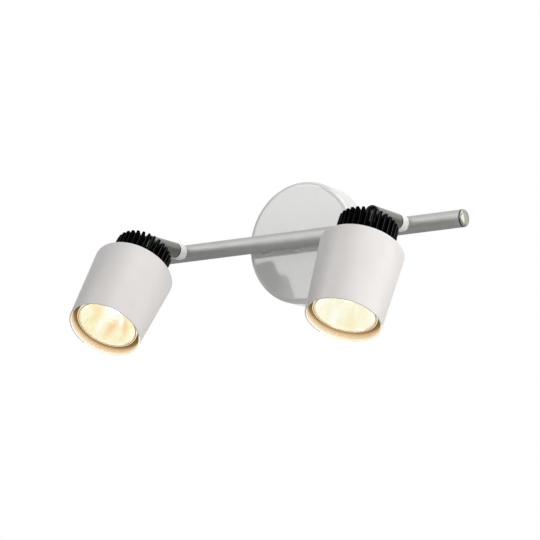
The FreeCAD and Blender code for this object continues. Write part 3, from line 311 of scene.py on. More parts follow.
def crown(material, middle, plane, radius):
    """Shades a flat face as if crowned about its middle; plane has 1 along its two axes."""
    tree = material.node_tree
    fall = place_group(tree, crowned_face, Middle=middle, Plane=plane, Radius=radius)
    dome = add_node(tree, "ShaderNodeBump", Strength=1.0, Distance=1.0,
                    Height=fall.outputs["Height"])
    feed(tree, tree.nodes["Grain Relief"], Normal=dome.outputs["Normal"])


canopy_paint = finish("canopy_gloss_white", (0.84, 0.84, 0.825), (0.82, 0.82, 0.805), 25.0, 1.6,
                      (0.07, 0.10), 0.001, IOR=1.8)
crown(canopy_paint, (0.0, 0.0, 0.0), (1.0, 0.0, 1.0), DOME_RADIUS)
dress(canopy_paint, "canopy")


# Bar, bar seat and cap nuts: a drawn steel tube and turned steel fittings,
# sprayed with a satin silver-grey lacquer; the tube's ends get a thin black band of painted shade.
BAR_END = 155.0 * MM
BAR_END_SHADE_WIDTH = 0.45 * MM
ALONG_BAR = (1.0, 0.0, 0.0)
PAINTED_GAP_SHADE = (0.004, 0.004, 0.004, 1.0)
NO_STOP = 1.0


def make_painted_gap_shade():
    """Shader group: a painted shade colour where the distance along an axis is from start to stop.
    """
    tree, given, result = node_group(
        "painted_gap_shade", "Shader",
        (("Colour", "Color"), ("Bare Colour", "Color"), ("Along", "Vector"),
         ("Start", "Float"), ("Stop", "Float")),
        (("Colour", "Color"),))
    place = add_node(tree, "ShaderNodeTexCoord").outputs["Object"]
    along = reckon(tree, "DOT_PRODUCT", place, given["Along"], make="VectorMath")
    distance = reckon(tree, "ABSOLUTE", along)
    past_start = reckon(tree, "GREATER_THAN", distance, given["Start"])
    before_stop = reckon(tree, "LESS_THAN", distance, given["Stop"])
    in_painted_shade = reckon(tree, "MULTIPLY", past_start, before_stop)
    feed(tree, result, Colour=colour_mix(tree, in_painted_shade, given["Colour"], given["Bare Colour"]))
    return tree


painted_gap_shade = make_painted_gap_shade()


def recolour(material, group, **sources):
    """Sends a material's base colour through a colour group."""
    tree = material.node_tree
    base = tree.nodes["Principled BSDF"].inputs["Base Color"]
    node = place_group(tree, group, Colour=base.links[0].from_socket, **sources)
    tree.links.new(node.outputs["Colour"], base)


bar_lacquer = finish("silver_grey_bar", (0.46, 0.465, 0.45), (0.43, 0.435, 0.42), 12.0, 0.35,
                     (0.52, 0.60), 0.003, stretch=(0.06, 1.0, 1.0), Metallic=0.65,
                     Coat_Weight=0.25, Coat_Roughness=0.4)
recolour(bar_lacquer, painted_gap_shade, Bare_Colour=PAINTED_GAP_SHADE, Along=ALONG_BAR,
         Start=BAR_END - BAR_END_SHADE_WIDTH, Stop=NO_STOP)
dress(bar_lacquer, "bar_tube")
turned_grey = finish("silver_grey_turned", (0.64, 0.64, 0.62), (0.58, 0.58, 0.56), 5.0, 0.3,
                     (0.26, 0.38), 0.004, Metallic=0.3, Coat_Weight=0.3, Coat_Roughness=0.12)
dress(turned_grey, "bar_seat", "cap_nuts")


# Hollow nipple, nuts, swivel bolts and wave washers: turned and pressed steel
# inside the bar, the collars and the arms; the leads run through their bores.
turned_steel = finish("turned_steel", (0.55, 0.55, 0.54), (0.44, 0.44, 0.43), 4.0, 0.25,
                      (0.22, 0.36), 0.004, Metallic=1.0)
dress(turned_steel, "bar_nipple", "nipple_nut", "centre_nut", "barrel_nut_left",
      "barrel_nut_right", "swivel_bolt_left", "swivel_bolt_right")
# The wave washers are near black: dark spring steel, made darker still as painted shade for the
# thin gap line between arm and collar.
dark_spring_and_gap_shade = finish("dark_spring_steel_and_shade", (0.035, 0.035, 0.038), (0.022, 0.022, 0.025), 2.0, 0.2,
                     (0.3, 0.45), 0.003, Metallic=0.6)
dress(dark_spring_and_gap_shade, "wave_washers")


# End caps: pale moulded plugs with a rounded edge, pushed into the bar's
# two ends; a black line of painted shade shows where each meets the tube.
BAR_OUT = 32.0 * MM
CAP_CROWN_RADIUS = 15.0 * MM
CAP_SEAM_SHADE_WIDTH = 0.65 * MM

cap_moulding = finish("pale_cap_moulding", (0.40, 0.41, 0.34), (0.37, 0.38, 0.31), 4.0, 0.35,
                      (0.17, 0.24), 0.002, Metallic=0.7)
crown(cap_moulding, (0.0, -BAR_OUT, 0.0), (0.0, 1.0, 1.0), CAP_CROWN_RADIUS)
recolour(cap_moulding, painted_gap_shade, Bare_Colour=PAINTED_GAP_SHADE, Along=ALONG_BAR,
         Start=0.0, Stop=BAR_END + CAP_SEAM_SHADE_WIDTH)
dress(cap_moulding, "end_cap_left", "end_cap_right")


# Collars: white moulded rings between the bar and the arms, saddled to sit
# on the round bar, each clamped by its swivel bolt.
collar_moulding = finish("white_collar_moulding", (0.94, 0.94, 0.93), (0.90, 0.90, 0.89), 4.0,
                         0.35, (0.3, 0.42), 0.004, Coat_Weight=0.4, Coat_Roughness=0.1)
dress(collar_moulding, "collar_left", "collar_right")


# Arms: short drawn steel tubes in a darker silver-grey lacquer, with a black
# band of painted shade at each end, slotted at the mouth for the fork; a threaded
# plug and a cross pin of plain steel go into each.
ARM_REAR = 48.6 * MM
ARM_FRONT = 86.0 * MM
REAR_SHADE_WIDTH = 1.4 * MM
FRONT_SHADE_WIDTH = 0.9 * MM

arm_lacquer = finish("silver_grey_arm", (0.20, 0.21, 0.182), (0.185, 0.194, 0.168), 10.0, 0.35,
                     (0.14, 0.22), 0.003, stretch=(1.0, 0.06, 1.0), Metallic=0.6)
for start, stop in ((0.0, ARM_REAR + REAR_SHADE_WIDTH), (ARM_FRONT - FRONT_SHADE_WIDTH, NO_STOP)):
    recolour(arm_lacquer, painted_gap_shade, Bare_Colour=PAINTED_GAP_SHADE, Along=(0.0, 1.0, 0.0),
             Start=start, Stop=stop)
dress(arm_lacquer, "arm_tube_left", "arm_tube_right")
dress(turned_steel, "arm_plug_left", "arm_plug_right", "tilt_pin_left", "tilt_pin_right")


# Tilt forks and spacers: black painted steel forks on the cross pins, and
# pale nylon rings beside the lugs that give each tilt joint its friction.
fork_paint = finish("fork_black_paint", (0.004, 0.004, 0.005), (0.007, 0.007, 0.008), 3.0, 0.3,
                    (0.25, 0.38), 0.006, Specular_IOR_Level=0.15)
dress(fork_paint, "tilt_fork_left", "tilt_fork_right")
nylon = finish("spacer_nylon", (0.80, 0.80, 0.78), (0.72, 0.72, 0.70), 2.0, 0.2,
               (0.35, 0.5), 0.003)
dress(nylon, "tilt_spacers_left", "tilt_spacers_right")


# Leads: dark sheathed round leads through the bar and the arms; at each tilt
# joint the lead bends over the cross pin, between the lugs, into the rear cap.
LEAD_RADIUS = 1.5 * MM
LEAD_OVER_PIN = 3.3 * MM
LEAD_BEHIND_PIN = 4.0 * MM
LEAD_BELOW_BEND = 5.0 * MM
LEAD_PAST_SEAT = 1.4 * MM
PIVOT_OUT = 81.5 * MM
ARM_SIDE = 105.0 * MM
SEAT_DROP = 35.3 * MM
TILT = {"left": math.radians(54.0), "right": math.radians(64.3)}
SIDE = {"left": -1.0, "right": 1.0}

lead_sheath = finish("dark_lead_sheath", (0.012, 0.014, 0.020), (0.020, 0.024, 0.034), 2.0, 0.35,
                     (0.2, 0.32), 0.008, Specular_IOR_Level=0.35)
dress(lead_sheath, "supply_lead_left", "supply_lead_right", "arm_lead_left", "arm_lead_right",
      "head_lead_left", "head_lead_right")


def pivot_point(side):
    """The middle of an arm's cross pin, about which its head tilts."""
    return Vector((SIDE[side] * ARM_SIDE, -PIVOT_OUT, 0.0))


def plain_mesh(holder):
    """The mesh that an object makes once its curve or modifier is worked out."""
    bpy.context.view_layer.update()
    graph = bpy.context.evaluated_depsgraph_get()
    mesh = bpy.data.meshes.new_from_object(holder.evaluated_get(graph), depsgraph=graph)
    bpy.data.objects.remove(holder)
    return mesh


def link_piece(name, mesh, body, stands_for):
    """Puts a piece into the scene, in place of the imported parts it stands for."""
    piece = bpy.data.objects.new(name, mesh)
    scene.collection.objects.link(piece)
    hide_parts(*stands_for)
    if body:
        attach(piece, body)
    return piece


for side in TILT:
    pivot = pivot_point(side)
    down = Vector((0.0, -math.cos(TILT[side]), -math.sin(TILT[side])))
    over = Vector((0.0, -math.sin(TILT[side]), math.cos(TILT[side])))
    half = TILT[side] / 2
    rise = LEAD_OVER_PIN / math.cos(half)
    corner = pivot + Vector((0.0, -math.sin(half), math.cos(half))) * rise
    first = pivot + Vector((0.0, LEAD_BEHIND_PIN, LEAD_OVER_PIN))
    last = pivot + over * LEAD_OVER_PIN + down * (SEAT_DROP + LEAD_PAST_SEAT)
    route = [first, first.lerp(corner, 0.5), corner, corner + down * LEAD_BELOW_BEND,
             corner.lerp(last, 0.5), last]
    curve = bpy.data.curves.new("tilt_lead_route_" + side, "CURVE")
    curve.dimensions = "3D"
    curve.bevel_depth = LEAD_RADIUS
    curve.bevel_resolution = 6
    curve.resolution_u = 16
    curve.use_fill_caps = True
    spline = curve.splines.new("NURBS")
    spline.points.add(len(route) - 1)
    for point, spot in zip(spline.points, route):
        point.co = (*spot, 1.0)
    spline.order_u = 3
    spline.use_endpoint_u = True
    route_object = bpy.data.objects.new("tilt_lead_route_" + side, curve)
    scene.collection.objects.link(route_object)
    lead_mesh = plain_mesh(route_object)
    lead_mesh.materials.clear()
    lead_mesh.materials.append(lead_sheath)
    lead_mesh.shade_smooth()
    lead = link_piece("tilt_lead_" + side, lead_mesh, None,
                      ["head_lead_" + side])
    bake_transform(lead)


# Finned rear caps: die-cast aluminium, painted matt black, each a hollow core
# with a flange and thirty fins with softened edges that shed the lamp's heat.
FIN_COUNT = 30
FIN_THICKNESS = 2.0 * MM
FIN_HEIGHT = 23.6 * MM
FIN_RING = 23.5 * MM
FIN_CORNER = 1.2 * MM
FIN_EDGE = 0.28 * MM
CORE_RADIUS = 15.5 * MM
CORE_WALL = 2.5 * MM
CORE_HEIGHT = 16.0 * MM
CAP_FLANGE = 1.5 * MM
FORK_OFFSET = 3.8 * MM
EDGE_HIGHLIGHT_GREY = (0.065, 0.065, 0.070, 1.0)
SAME_POINT = 1e-7
NO_LENGTH = 1e-8
ON_AXIS = 1e-9
SHARP_ANGLE = math.radians(35)

cast_black = finish("cast_matt_black", (0.0008, 0.0008, 0.0009), (0.0016, 0.0016, 0.0018), 4.0,
                    0.35, (0.4, 0.55), 0.012, Specular_IOR_Level=0.01)
cast_tree = cast_black.node_tree
cast_base = cast_tree.nodes["Principled BSDF"].inputs["Base Color"]
# Painted highlight: the softened fin edges on one side are a lighter grey, as if catching the
# light.
edge_highlight = add_node(cast_tree, "ShaderNodeAttribute")
edge_highlight.attribute_name = "painted_highlight_edge"
edge_highlight_tone = colour_mix(cast_tree, edge_highlight.outputs["Fac"], cast_base.links[0].from_socket, EDGE_HIGHLIGHT_GREY)
cast_tree.links.new(edge_highlight_tone, cast_base)


def head_place(side):
    """A head's own frame: Z runs down the shade from its rear face, Y points up and forward."""
    turn = Matrix.Rotation(math.pi / 2 + TILT[side], 4, "X")
    rear = turn @ Vector((0.0, FORK_OFFSET, SEAT_DROP))
    return Matrix.Translation(pivot_point(side) + rear) @ turn


def soft_outline(corners, steps=5):
    """Outline points (radius, height) from corners (radius, height, rounding)."""
    line = []
    for index, (radius, height, rounding) in enumerate(corners):
        here = Vector((radius, height))
        if rounding == 0:
            line.append(here)
            continue
        before = (Vector(corners[index - 1][:2]) - here).normalized()
        after = (Vector(corners[(index + 1) % len(corners)][:2]) - here).normalized()
        half = before.angle(after) / 2
        centre = here + (before + after).normalized() * (rounding / math.sin(half))
        start = here + before * (rounding / math.tan(half)) - centre
        sweep = start.angle_signed(here + after * (rounding / math.tan(half)) - centre)
        for step in range(steps + 1):
            turn = -sweep * step / steps
            line.append(centre + Vector((start.x * math.cos(turn) - start.y * math.sin(turn),
                                         start.x * math.sin(turn) + start.y * math.cos(turn))))
    return line


def turned(form, outline, place, around):
    """Adds a closed outline, turned about Z in its place, to a bmesh."""
    rings = []
    for number in range(around):
        angle = 2 * math.pi * number / around
        rings.append([form.verts.new(place @ Vector((p.x * math.cos(angle),
                                                     p.x * math.sin(angle), p.y)))
                      for p in outline])
    for number in range(around):
        here, there = rings[number], rings[(number + 1) % around]
        for index in range(len(outline)):
            after = (index + 1) % len(outline)
            if outline[index].x < ON_AXIS and outline[after].x < ON_AXIS:
                continue
            form.faces.new((here[index], here[after], there[after], there[index]))


def closed_mesh(name, form, *materials):
    """Merges doubled points, turns all faces outwards and smooths across soft edges."""
    bmesh.ops.remove_doubles(form, verts=form.verts, dist=SAME_POINT)
    bmesh.ops.dissolve_degenerate(form, edges=form.edges, dist=NO_LENGTH)
    bmesh.ops.recalc_face_normals(form, faces=form.faces)
    mesh = bpy.data.meshes.new(name)
    form.to_mesh(mesh)
    form.free()
    for material in materials:
        mesh.materials.append(material)
    mesh.shade_smooth()
    mesh.set_sharp_from_angle(angle=SHARP_ANGLE)
    return mesh


def fin_blank():
    """One fin in the XZ plane, its edges softened and those on one side marked for a painted
    highlight.
    """
    foot = CORE_RADIUS - CORE_WALL
    seat = CORE_RADIUS - CORE_WALL / 2
    core_top = -CORE_HEIGHT + CORE_WALL / 2
    outline = soft_outline([(foot, -FIN_HEIGHT, 0), (FIN_RING, -FIN_HEIGHT, FIN_CORNER),
                            (FIN_RING, -CAP_FLANGE / 2, 0), (seat, -CAP_FLANGE / 2, 0),
                            (seat, core_top, 0), (foot, core_top, 0)], steps=4)
    form = bmesh.new()
    for y in (-FIN_THICKNESS / 2, FIN_THICKNESS / 2):
        form.faces.new([form.verts.new((p.x, y, p.y)) for p in outline])
    form.faces.ensure_lookup_table()
    front, back = form.faces[0], form.faces[1]
    count = len(outline)
    for index in range(count):
        after = (index + 1) % count
        form.faces.new((front.verts[index], front.verts[after],
                        back.verts[after], back.verts[index]))
    bmesh.ops.recalc_face_normals(form, faces=form.faces)
    rim = [edge for edge in form.edges
           if len({round(v.co.y, 6) for v in edge.verts}) == 1
           and all(v.co.z < -CAP_FLANGE or v.co.x > CORE_RADIUS for v in edge.verts)]
    highlight_mark = form.faces.layers.float.new("painted_highlight_edge")
    softened = bmesh.ops.bevel(form, geom=rim, offset=FIN_EDGE, segments=2, affect="EDGES",
                               profile=0.5)
    for face in softened["faces"]:
        face[highlight_mark] = 1.0 if face.calc_center_median().y > 0 else 0.0
    mesh = bpy.data.meshes.new("fin_blank")
    form.to_mesh(mesh)
    form.free()
    return mesh


def make_fin_ring():
    """Geometry nodes that set a blank round the cap's axis."""
    tree, given, result = node_group(
        "fin_ring", "Geometry",
        (("Blank", "Geometry"), ("Fin Count", "Int"), ("First Angle", "Float"),
         ("Finish", "Material")),
        (("Fins", "Geometry"),))
    seats = add_node(tree, "GeometryNodePoints", Count=given["Fin Count"])
    number = add_node(tree, "GeometryNodeInputIndex").outputs["Index"]
    share = reckon(tree, "DIVIDE", number, given["Fin Count"])
    angle = reckon(tree, "MULTIPLY_ADD", share, 2 * math.pi, given["First Angle"])
    turn = add_node(tree, "ShaderNodeCombineXYZ", Z=angle)
    spread = add_node(tree, "GeometryNodeInstanceOnPoints", Points=seats.outputs["Points"],
                      Instance=given["Blank"], Rotation=turn.outputs["Vector"])
    real = add_node(tree, "GeometryNodeRealizeInstances", Geometry=spread.outputs["Instances"])
    painted = add_node(tree, "GeometryNodeSetMaterial", Geometry=real.outputs["Geometry"],
                       Material=given["Finish"])
    feed(tree, result, Fins=painted.outputs["Geometry"])
    return tree


def grown(name, blank, tree, values):
    """The plain mesh that a geometry nodes tree makes of a blank, with its inputs set by name."""
    holder = bpy.data.objects.new(name, blank)
    scene.collection.objects.link(holder)
    modifier = holder.modifiers.new(name, "NODES")
    modifier.node_group = tree
    for item in tree.interface.items_tree:
        if item.item_type == "SOCKET" and item.in_out == "INPUT" and item.name in values:
            modifier[item.identifier] = values[item.name]
    return plain_mesh(holder)


fin_ring = make_fin_ring()
for side in TILT:
    place = head_place(side)
    fins = grown("cap_fins_" + side, fin_blank(), fin_ring,
                 {"Fin Count": FIN_COUNT, "First Angle": 0.0, "Finish": cast_black})
    form = bmesh.new()
    form.from_mesh(fins)
    form.transform(place)
    bmesh.ops.remove_doubles(form, verts=form.verts, dist=SAME_POINT)
    core = soft_outline([(0.0, -CORE_HEIGHT, 0), (CORE_RADIUS, -CORE_HEIGHT, 0.5 * MM),
                         (CORE_RADIUS, -CAP_FLANGE, 0), (FIN_RING, -CAP_FLANGE, 0.4 * MM),
                         (FIN_RING, 0.0, 0.3 * MM), (CORE_RADIUS - CORE_WALL, 0.0, 0),
                         (CORE_RADIUS - CORE_WALL, -CORE_HEIGHT + CORE_WALL, 0),
                         (0.0, -CORE_HEIGHT + CORE_WALL, 0)])
    turned(form, core, place, around=90)
    cap_mesh = closed_mesh("finned_cap_" + side, form, cast_black)
    link_piece("finned_cap_" + side, cap_mesh, "head_" + side,
               ["fin_cap_" + side])


# Shades: spun aluminium cups, slightly narrower at the mouth, with a softened
# lip, sprayed satin white inside and out; inside, warm lamplight and deeper shade are painted on.
SHADE_REAR = 33.0 * MM
SHADE_FRONT = 29.6 * MM
SHADE_LENGTH = 65.5 * MM
SHADE_WALL = 1.2 * MM
SHADE_REAR_WALL = 1.5 * MM
SHADE_HOLE = 5.0 * MM
LIP_ROUNDING = 0.45 * MM
LIP_DEPTH = 0.6 * MM
LOW_SIDE = -0.35 * SHADE_FRONT
WALL_SLACK = 0.3 * MM
FLOOR_SLACK = 0.001 * MM
# Painted lamplight and painted shade run from the lip, at 0, to the shade's rear, at 1.
INSIDE_PAINTED_LAMPLIGHT = ((0.012, (0.52, 0.48, 0.36)), (0.036, (0.44, 0.30, 0.17)),
               (0.072, (0.36, 0.24, 0.11)), (0.098, (0.24, 0.15, 0.048)),
               (0.118, (0.072, 0.045, 0.0144)), (0.2, (0.0, 0.0, 0.0)))
INSIDE_PAINTED_SHADE = ((0.012, PURE_WHITE), (0.12, (0.42, 0.30, 0.16)))

shade_paint = finish("shade_satin_white", (0.80, 0.775, 0.76), (0.775, 0.75, 0.735), 20.0, 0.7,
                     (0.42, 0.52), 0.004, Coat_Weight=0.15, Coat_Roughness=0.3)
# The inside's emission is painted warm lamplight; its colour is darkened towards the rear as
# painted shade.
inside_painted_light = finish("shade_inside_painted_light", (0.80, 0.78, 0.74), (0.77, 0.75, 0.71), 15.0, 0.7,
                      (0.4, 0.5), 0.004, Emission_Strength=1.0)


def colour_ramp(tree, place, stops):
    """The colour at a place between the stops, each a position and a colour, in order."""
    node = add_node(tree, "ShaderNodeValToRGB", Fac=place)
    ramp = node.color_ramp.elements
    for element, (position, colour) in zip(ramp, (stops[0], stops[-1])):
        element.position = position
        element.color = (*colour, 1.0)
    for position, colour in stops[1:-1]:
        ramp.new(position).color = (*colour, 1.0)
    return node.outputs["Color"]


inside_tree = inside_painted_light.node_tree
inside_shader = inside_tree.nodes["Principled BSDF"]
depth_map = add_node(inside_tree, "ShaderNodeUVMap")
depth_map.uv_map = "depth"
depth = add_node(inside_tree, "ShaderNodeSeparateXYZ", Vector=depth_map.outputs["UV"]).outputs["Y"]
skin_colour = inside_shader.inputs["Base Color"].links[0].from_socket
painted_shade_colour = colour_mix(inside_tree, 1.0, skin_colour,
                           colour_ramp(inside_tree, depth, INSIDE_PAINTED_SHADE), "MULTIPLY")
feed(inside_tree, inside_shader, Base_Color=painted_shade_colour,
     Emission_Color=colour_ramp(inside_tree, depth, INSIDE_PAINTED_LAMPLIGHT))

for side in TILT:
    place = head_place(side)
    form = bmesh.new()
    depth_uv = form.loops.layers.uv.new("depth")
    cup = soft_outline([(SHADE_HOLE, 0.0, 0.3 * MM), (SHADE_REAR, 0.0, 1.0 * MM),
                        (SHADE_FRONT, SHADE_LENGTH, LIP_ROUNDING),
                        (SHADE_FRONT - SHADE_WALL, SHADE_LENGTH, LIP_ROUNDING),
                        (SHADE_REAR - SHADE_WALL, SHADE_REAR_WALL, 0.8 * MM),
                        (SHADE_HOLE, SHADE_REAR_WALL, 0.3 * MM)])
    turned(form, cup, place, around=128)
    back_to_head = place.inverted()
    for face in form.faces:
        spots = [back_to_head @ v.co for v in face.verts]
        inside = all(s.z > SHADE_REAR_WALL - FLOOR_SLACK and math.hypot(s.x, s.y) <
                     SHADE_REAR - SHADE_WALL - (SHADE_REAR - SHADE_FRONT) * s.z / SHADE_LENGTH
                     + WALL_SLACK for s in spots)
        # The lower lip takes the inside's painted lamplight too.
        painted_lit_lip = all(s.z > SHADE_LENGTH - LIP_DEPTH and s.y < LOW_SIDE for s in spots)
        face.material_index = 1 if inside or painted_lit_lip else 0
        for loop, spot in zip(face.loops, spots):
            loop[depth_uv].uv = (math.atan2(spot.y, spot.x) / (2 * math.pi),
                                 1.0 - spot.z / SHADE_LENGTH)
    shade_mesh = closed_mesh("shade_cup_" + side, form, shade_paint, inside_painted_light)
    link_piece("shade_cup_" + side, shade_mesh, "head_" + side, ["shade_" + side])


# Lampholders and cap screws: cream steatite blocks with brass contacts, held
# through the shade's rear by two plated screws that bite into the cap's bosses.
steatite = finish("holder_steatite", (0.74, 0.71, 0.65), (0.66, 0.63, 0.57), 5.0, 0.35,
                  (0.45, 0.6), 0.012)
for side in TILT:
    dress(steatite, "lampholder_" + side)
    dress(brass, "holder_contacts_" + side, "lamp_pins_" + side)
    dress(zinc_plate, "cap_screws_" + side)


# Lamps: twist-lock reflector lamps, lit, each a ceramic base, a pressed glass
# bowl with rings of mirror facets under a painted glow and a band of painted
# shade inside its rim, a flat front glass and a quartz capsule.
LAMP_FRONT = 60.0 * MM
LAMP_RADIUS = 25.0 * MM
BOWL_DEPTH = 25.0 * MM
BOWL_CURVE = 1.6
BOWL_FOOT = 26.0 * MM
FOOT_RADIUS = 11.0 * MM
NECK_RADIUS = 9.6 * MM
NECK_LAP = 0.05 * MM
MIRROR_RADIUS = 22.4 * MM
MIRROR_SET_BACK = 1.7 * MM
RIM_FOOT = 56.0 * MM
RIM_STEP = 24.4 * MM
RIM_INNER = 23.8 * MM
SEAT_INNER = 22.5 * MM
SEAT_SET_BACK = 1.6 * MM
RIM_SHADE_DEPTH = 1.5 * MM
FACET_RINGS = 6
FACETS_AROUND = 60
HOT_HIGHLIGHT = (1.0, 1.0, 0.97)
# Each lamp's painted glow: facet tones, and its painted highlight and glow spots as
# (middle, radius, colour), in millimetres.
LAMP_PAINTED_GLOW = {
    "left": {"deep": (0.90, 0.84, 0.46), "mild": (0.92, 0.89, 0.58),
             "pale": (0.95, 0.95, 0.78), "patch": (0.92, 0.78, 0.44),
             "spots": (((-9.6, -13.6), 5.0, (0.94, 0.57, 0.29)),
                       ((1.5, -17.6), 3.8, (0.94, 0.66, 0.36)),
                       ((-17.4, -1.5), 4.6, (0.93, 0.80, 0.45)),
                       ((-3.2, -14.6), 2.8, HOT_HIGHLIGHT), ((-16.4, -8.8), 3.0, HOT_HIGHLIGHT),
                       ((-7.0, -5.6), 9.4, HOT_HIGHLIGHT))},
    "right": {"deep": (0.93, 0.92, 0.64), "mild": (0.94, 0.95, 0.74),
              "pale": (0.96, 0.98, 0.88), "patch": (0.94, 0.92, 0.66),
              "spots": (((-7.8, -19.5), 5.0, (0.94, 0.88, 0.55)),
                        ((2.0, -17.5), 4.5, (0.95, 0.93, 0.66)),
                        ((-17.5, -11.0), 3.2, HOT_HIGHLIGHT), ((-2.0, -2.0), 10.5, HOT_HIGHLIGHT))}}

base_ceramic = finish("lamp_base_ceramic", (0.80, 0.79, 0.75), (0.74, 0.73, 0.69), 4.0, 0.4,
                      (0.35, 0.5), 0.008)
front_glass = finish("lamp_front_glass", (1.0, 0.99, 0.96), (0.98, 0.9702, 0.9408), 6.0, 2.5,
                     (0.01, 0.02), 0.004, Transmission_Weight=1.0, IOR=1.45)
# The bowl's warm emission is painted lamplight glowing in the glass.
rim_glass = finish("lamp_rim_glass", (0.92, 0.86, 0.72), (0.88, 0.82, 0.68), 3.0, 0.6,
                   (0.12, 0.22), 0.006, Emission_Color=(1.0, 0.88, 0.66, 1.0),
                   Emission_Strength=0.55, Coat_Weight=0.5)
# The band inside the rim is painted brown shade with a faint painted glow.
rim_painted_shade = finish("lamp_rim_painted_shade", (0.42, 0.30, 0.15), (0.36, 0.25, 0.12), 3.0, 0.6,
                  (0.3, 0.4), 0.004, Emission_Color=(0.5, 0.33, 0.13, 1.0),
                  Emission_Strength=0.3)
hot_quartz = finish("hot_quartz", (1.0, 0.95, 0.86), (0.98, 0.93, 0.84), 2.0, 1.0,
                    (0.1, 0.2), 0.001, Emission_Color=(1.0, 0.88, 0.66, 1.0),
                    Emission_Strength=6.0)


def make_lit_facets():
    """Shader group: each facet's painted glow, one of three tones by its UV map, with patches of a
    fourth.
    """
    tree, given, result = node_group(
        "lit_facets", "Shader",
        (("Deep", "Color"), ("Mild", "Color"), ("Pale", "Color"), ("Patch", "Color")),
        (("Colour", "Color"),))
    own = add_node(tree, "ShaderNodeUVMap")
    own.uv_map = "facet"
    chance = add_node(tree, "ShaderNodeTexWhiteNoise")
    chance.noise_dimensions = "2D"
    feed(tree, chance, Vector=own.outputs["UV"])
    lower = add_node(tree, "ShaderNodeMapRange", Value=chance.outputs["Value"],
                     From_Min=0.0, From_Max=0.35)
    upper = add_node(tree, "ShaderNodeMapRange", Value=chance.outputs["Value"],
                     From_Min=0.35, From_Max=1.0)
    place = add_node(tree, "ShaderNodeTexCoord").outputs["Object"]
    clouds = add_node(tree, "ShaderNodeTexNoise", Vector=place, Scale=1.0 / (9.0 * MM), Detail=1.0)
    cloud_share = add_node(tree, "ShaderNodeMapRange", Value=clouds.outputs["Fac"],
                           From_Min=0.54, From_Max=0.68, To_Max=0.9)
    tone = colour_mix(tree, lower.outputs["Result"], given["Deep"], given["Mild"])
    tone = colour_mix(tree, upper.outputs["Result"], tone, given["Pale"])
    tone = colour_mix(tree, cloud_share.outputs["Result"], tone, given["Patch"])
    feed(tree, result, Colour=tone)
    return tree


def make_painted_glow_spot():
    """Shader group: a soft round spot of painted highlight or glow, in millimetres across the lamp,
    by its UV map.
    """
    tree, given, result = node_group(
        "painted_glow_spot", "Shader",
        (("Colour", "Color"), ("Spot Colour", "Color"), ("Middle", "Vector"), ("Radius", "Float")),
        (("Colour", "Color"),))
    across = add_node(tree, "ShaderNodeUVMap")
    across.uv_map = "face"
    away = reckon(tree, "DISTANCE", across.outputs["UV"], given["Middle"], make="VectorMath")
    in_radii = reckon(tree, "DIVIDE", away, given["Radius"])
    share = add_node(tree, "ShaderNodeMapRange", Value=in_radii,
                     From_Min=0.3, From_Max=1.1, To_Min=1.0, To_Max=0.0)
    tone = colour_mix(tree, share.outputs["Result"], given["Colour"], given["Spot Colour"])
    feed(tree, result, Colour=tone)
    return tree


lit_facets = make_lit_facets()
painted_glow_spot = make_painted_glow_spot()


def mirror_facets(name, deep, mild, pale, patch, spots):
    """Mirror facets whose emission paints the lamp's reflected glow, with painted highlight or glow
    spots over them.
    """
    material, tree, shader = new_material(name, Base_Color=(0.10, 0.09, 0.07, 1.0), Metallic=1.0,
                                          Roughness=0.12, Emission_Strength=1.0)
    surface = place_group(tree, lit_facets, Deep=(*deep, 1.0), Mild=(*mild, 1.0),
                          Pale=(*pale, 1.0), Patch=(*patch, 1.0))
    for middle, radius, tint in spots:
        surface = place_group(tree, painted_glow_spot, Colour=surface.outputs["Colour"],
                              Spot_Colour=(*tint, 1.0), Middle=(*middle, 0.0), Radius=radius)
    feed(tree, shader, Emission_Color=surface.outputs["Colour"])
    return material


def bowl_height(radius):
    """Height in the head's frame of the mirror surface at a radius."""
    share = (radius - NECK_RADIUS) / (MIRROR_RADIUS - NECK_RADIUS)
    return LAMP_FRONT - MIRROR_SET_BACK - BOWL_DEPTH * (1.0 - share ** BOWL_CURVE)


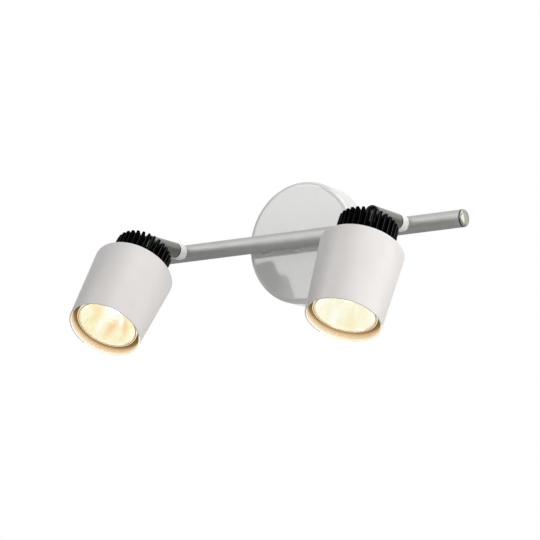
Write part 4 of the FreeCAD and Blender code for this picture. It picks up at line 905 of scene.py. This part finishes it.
for side in TILT:
    place = head_place(side)
    form = bmesh.new()
    facet_uv = form.loops.layers.uv.new("facet")
    face_uv = form.loops.layers.uv.new("face")
    radii = [NECK_RADIUS + (MIRROR_RADIUS - NECK_RADIUS) * ring / FACET_RINGS
             for ring in range(FACET_RINGS + 1)]
    for ring in range(FACET_RINGS):
        for number in range(FACETS_AROUND):
            corners, flat_spots = [], []
            for radius, step in ((radii[ring], 0), (radii[ring + 1], 0),
                                 (radii[ring + 1], 1), (radii[ring], 1)):
                angle = 2 * math.pi * (number + step + 0.5 * (ring % 2)) / FACETS_AROUND
                across = (radius * math.cos(angle), radius * math.sin(angle))
                flat_spots.append((across[0] / MM, across[1] / MM))
                corners.append(form.verts.new(place @ Vector((*across, bowl_height(radius)))))
            face = form.faces.new(corners)
            for loop, flat_spot in zip(face.loops, flat_spots):
                loop[facet_uv].uv = (number + 0.5, ring + 0.5)
                loop[face_uv].uv = flat_spot
    bmesh.ops.reverse_faces(form, faces=form.faces)
    facet_mesh = bpy.data.meshes.new("lamp_facets_" + side)
    form.to_mesh(facet_mesh)
    form.free()
    facet_mesh.materials.append(mirror_facets("lit_facets_" + side, **LAMP_PAINTED_GLOW[side]))
    link_piece("lamp_facets_" + side, facet_mesh, "head_" + side,
               ["lamp_reflector_" + side])

    form = bmesh.new()
    bowl = soft_outline([(NECK_RADIUS - NECK_LAP, BOWL_FOOT, 0), (FOOT_RADIUS, BOWL_FOOT, 0.4 * MM),
                         (FOOT_RADIUS, 30.0 * MM, 2.0 * MM), (19.6 * MM, 41.0 * MM, 14.0 * MM),
                         (24.3 * MM, RIM_FOOT, 0), (LAMP_RADIUS, RIM_FOOT, 0.3 * MM),
                         (LAMP_RADIUS, LAMP_FRONT, 0.3 * MM), (RIM_STEP, LAMP_FRONT, 0),
                         (RIM_INNER, LAMP_FRONT, 0.2 * MM),
                         (RIM_INNER, LAMP_FRONT - SEAT_SET_BACK, 0),
                         (SEAT_INNER, LAMP_FRONT - SEAT_SET_BACK, 0),
                         (18.6 * MM, 42.4 * MM, 13.0 * MM),
                         (NECK_RADIUS - NECK_LAP, 32.6 * MM, 0)])
    turned(form, bowl, place, around=96)
    back_to_head = place.inverted()
    for face in form.faces:
        middle = back_to_head @ face.calc_center_median()
        in_rim_shade = math.hypot(middle.x, middle.y) < RIM_STEP and middle.z > LAMP_FRONT - RIM_SHADE_DEPTH
        face.material_index = 1 if in_rim_shade else 0
    bowl_mesh = closed_mesh("lamp_bowl_" + side, form, rim_glass, rim_painted_shade)
    link_piece("lamp_bowl_" + side, bowl_mesh, "head_" + side,
               ["lamp_reflector_" + side])
    dress(base_ceramic, "lamp_base_" + side)
    dress(front_glass, "lamp_glass_" + side)
    dress(hot_quartz, "lamp_capsule_" + side)
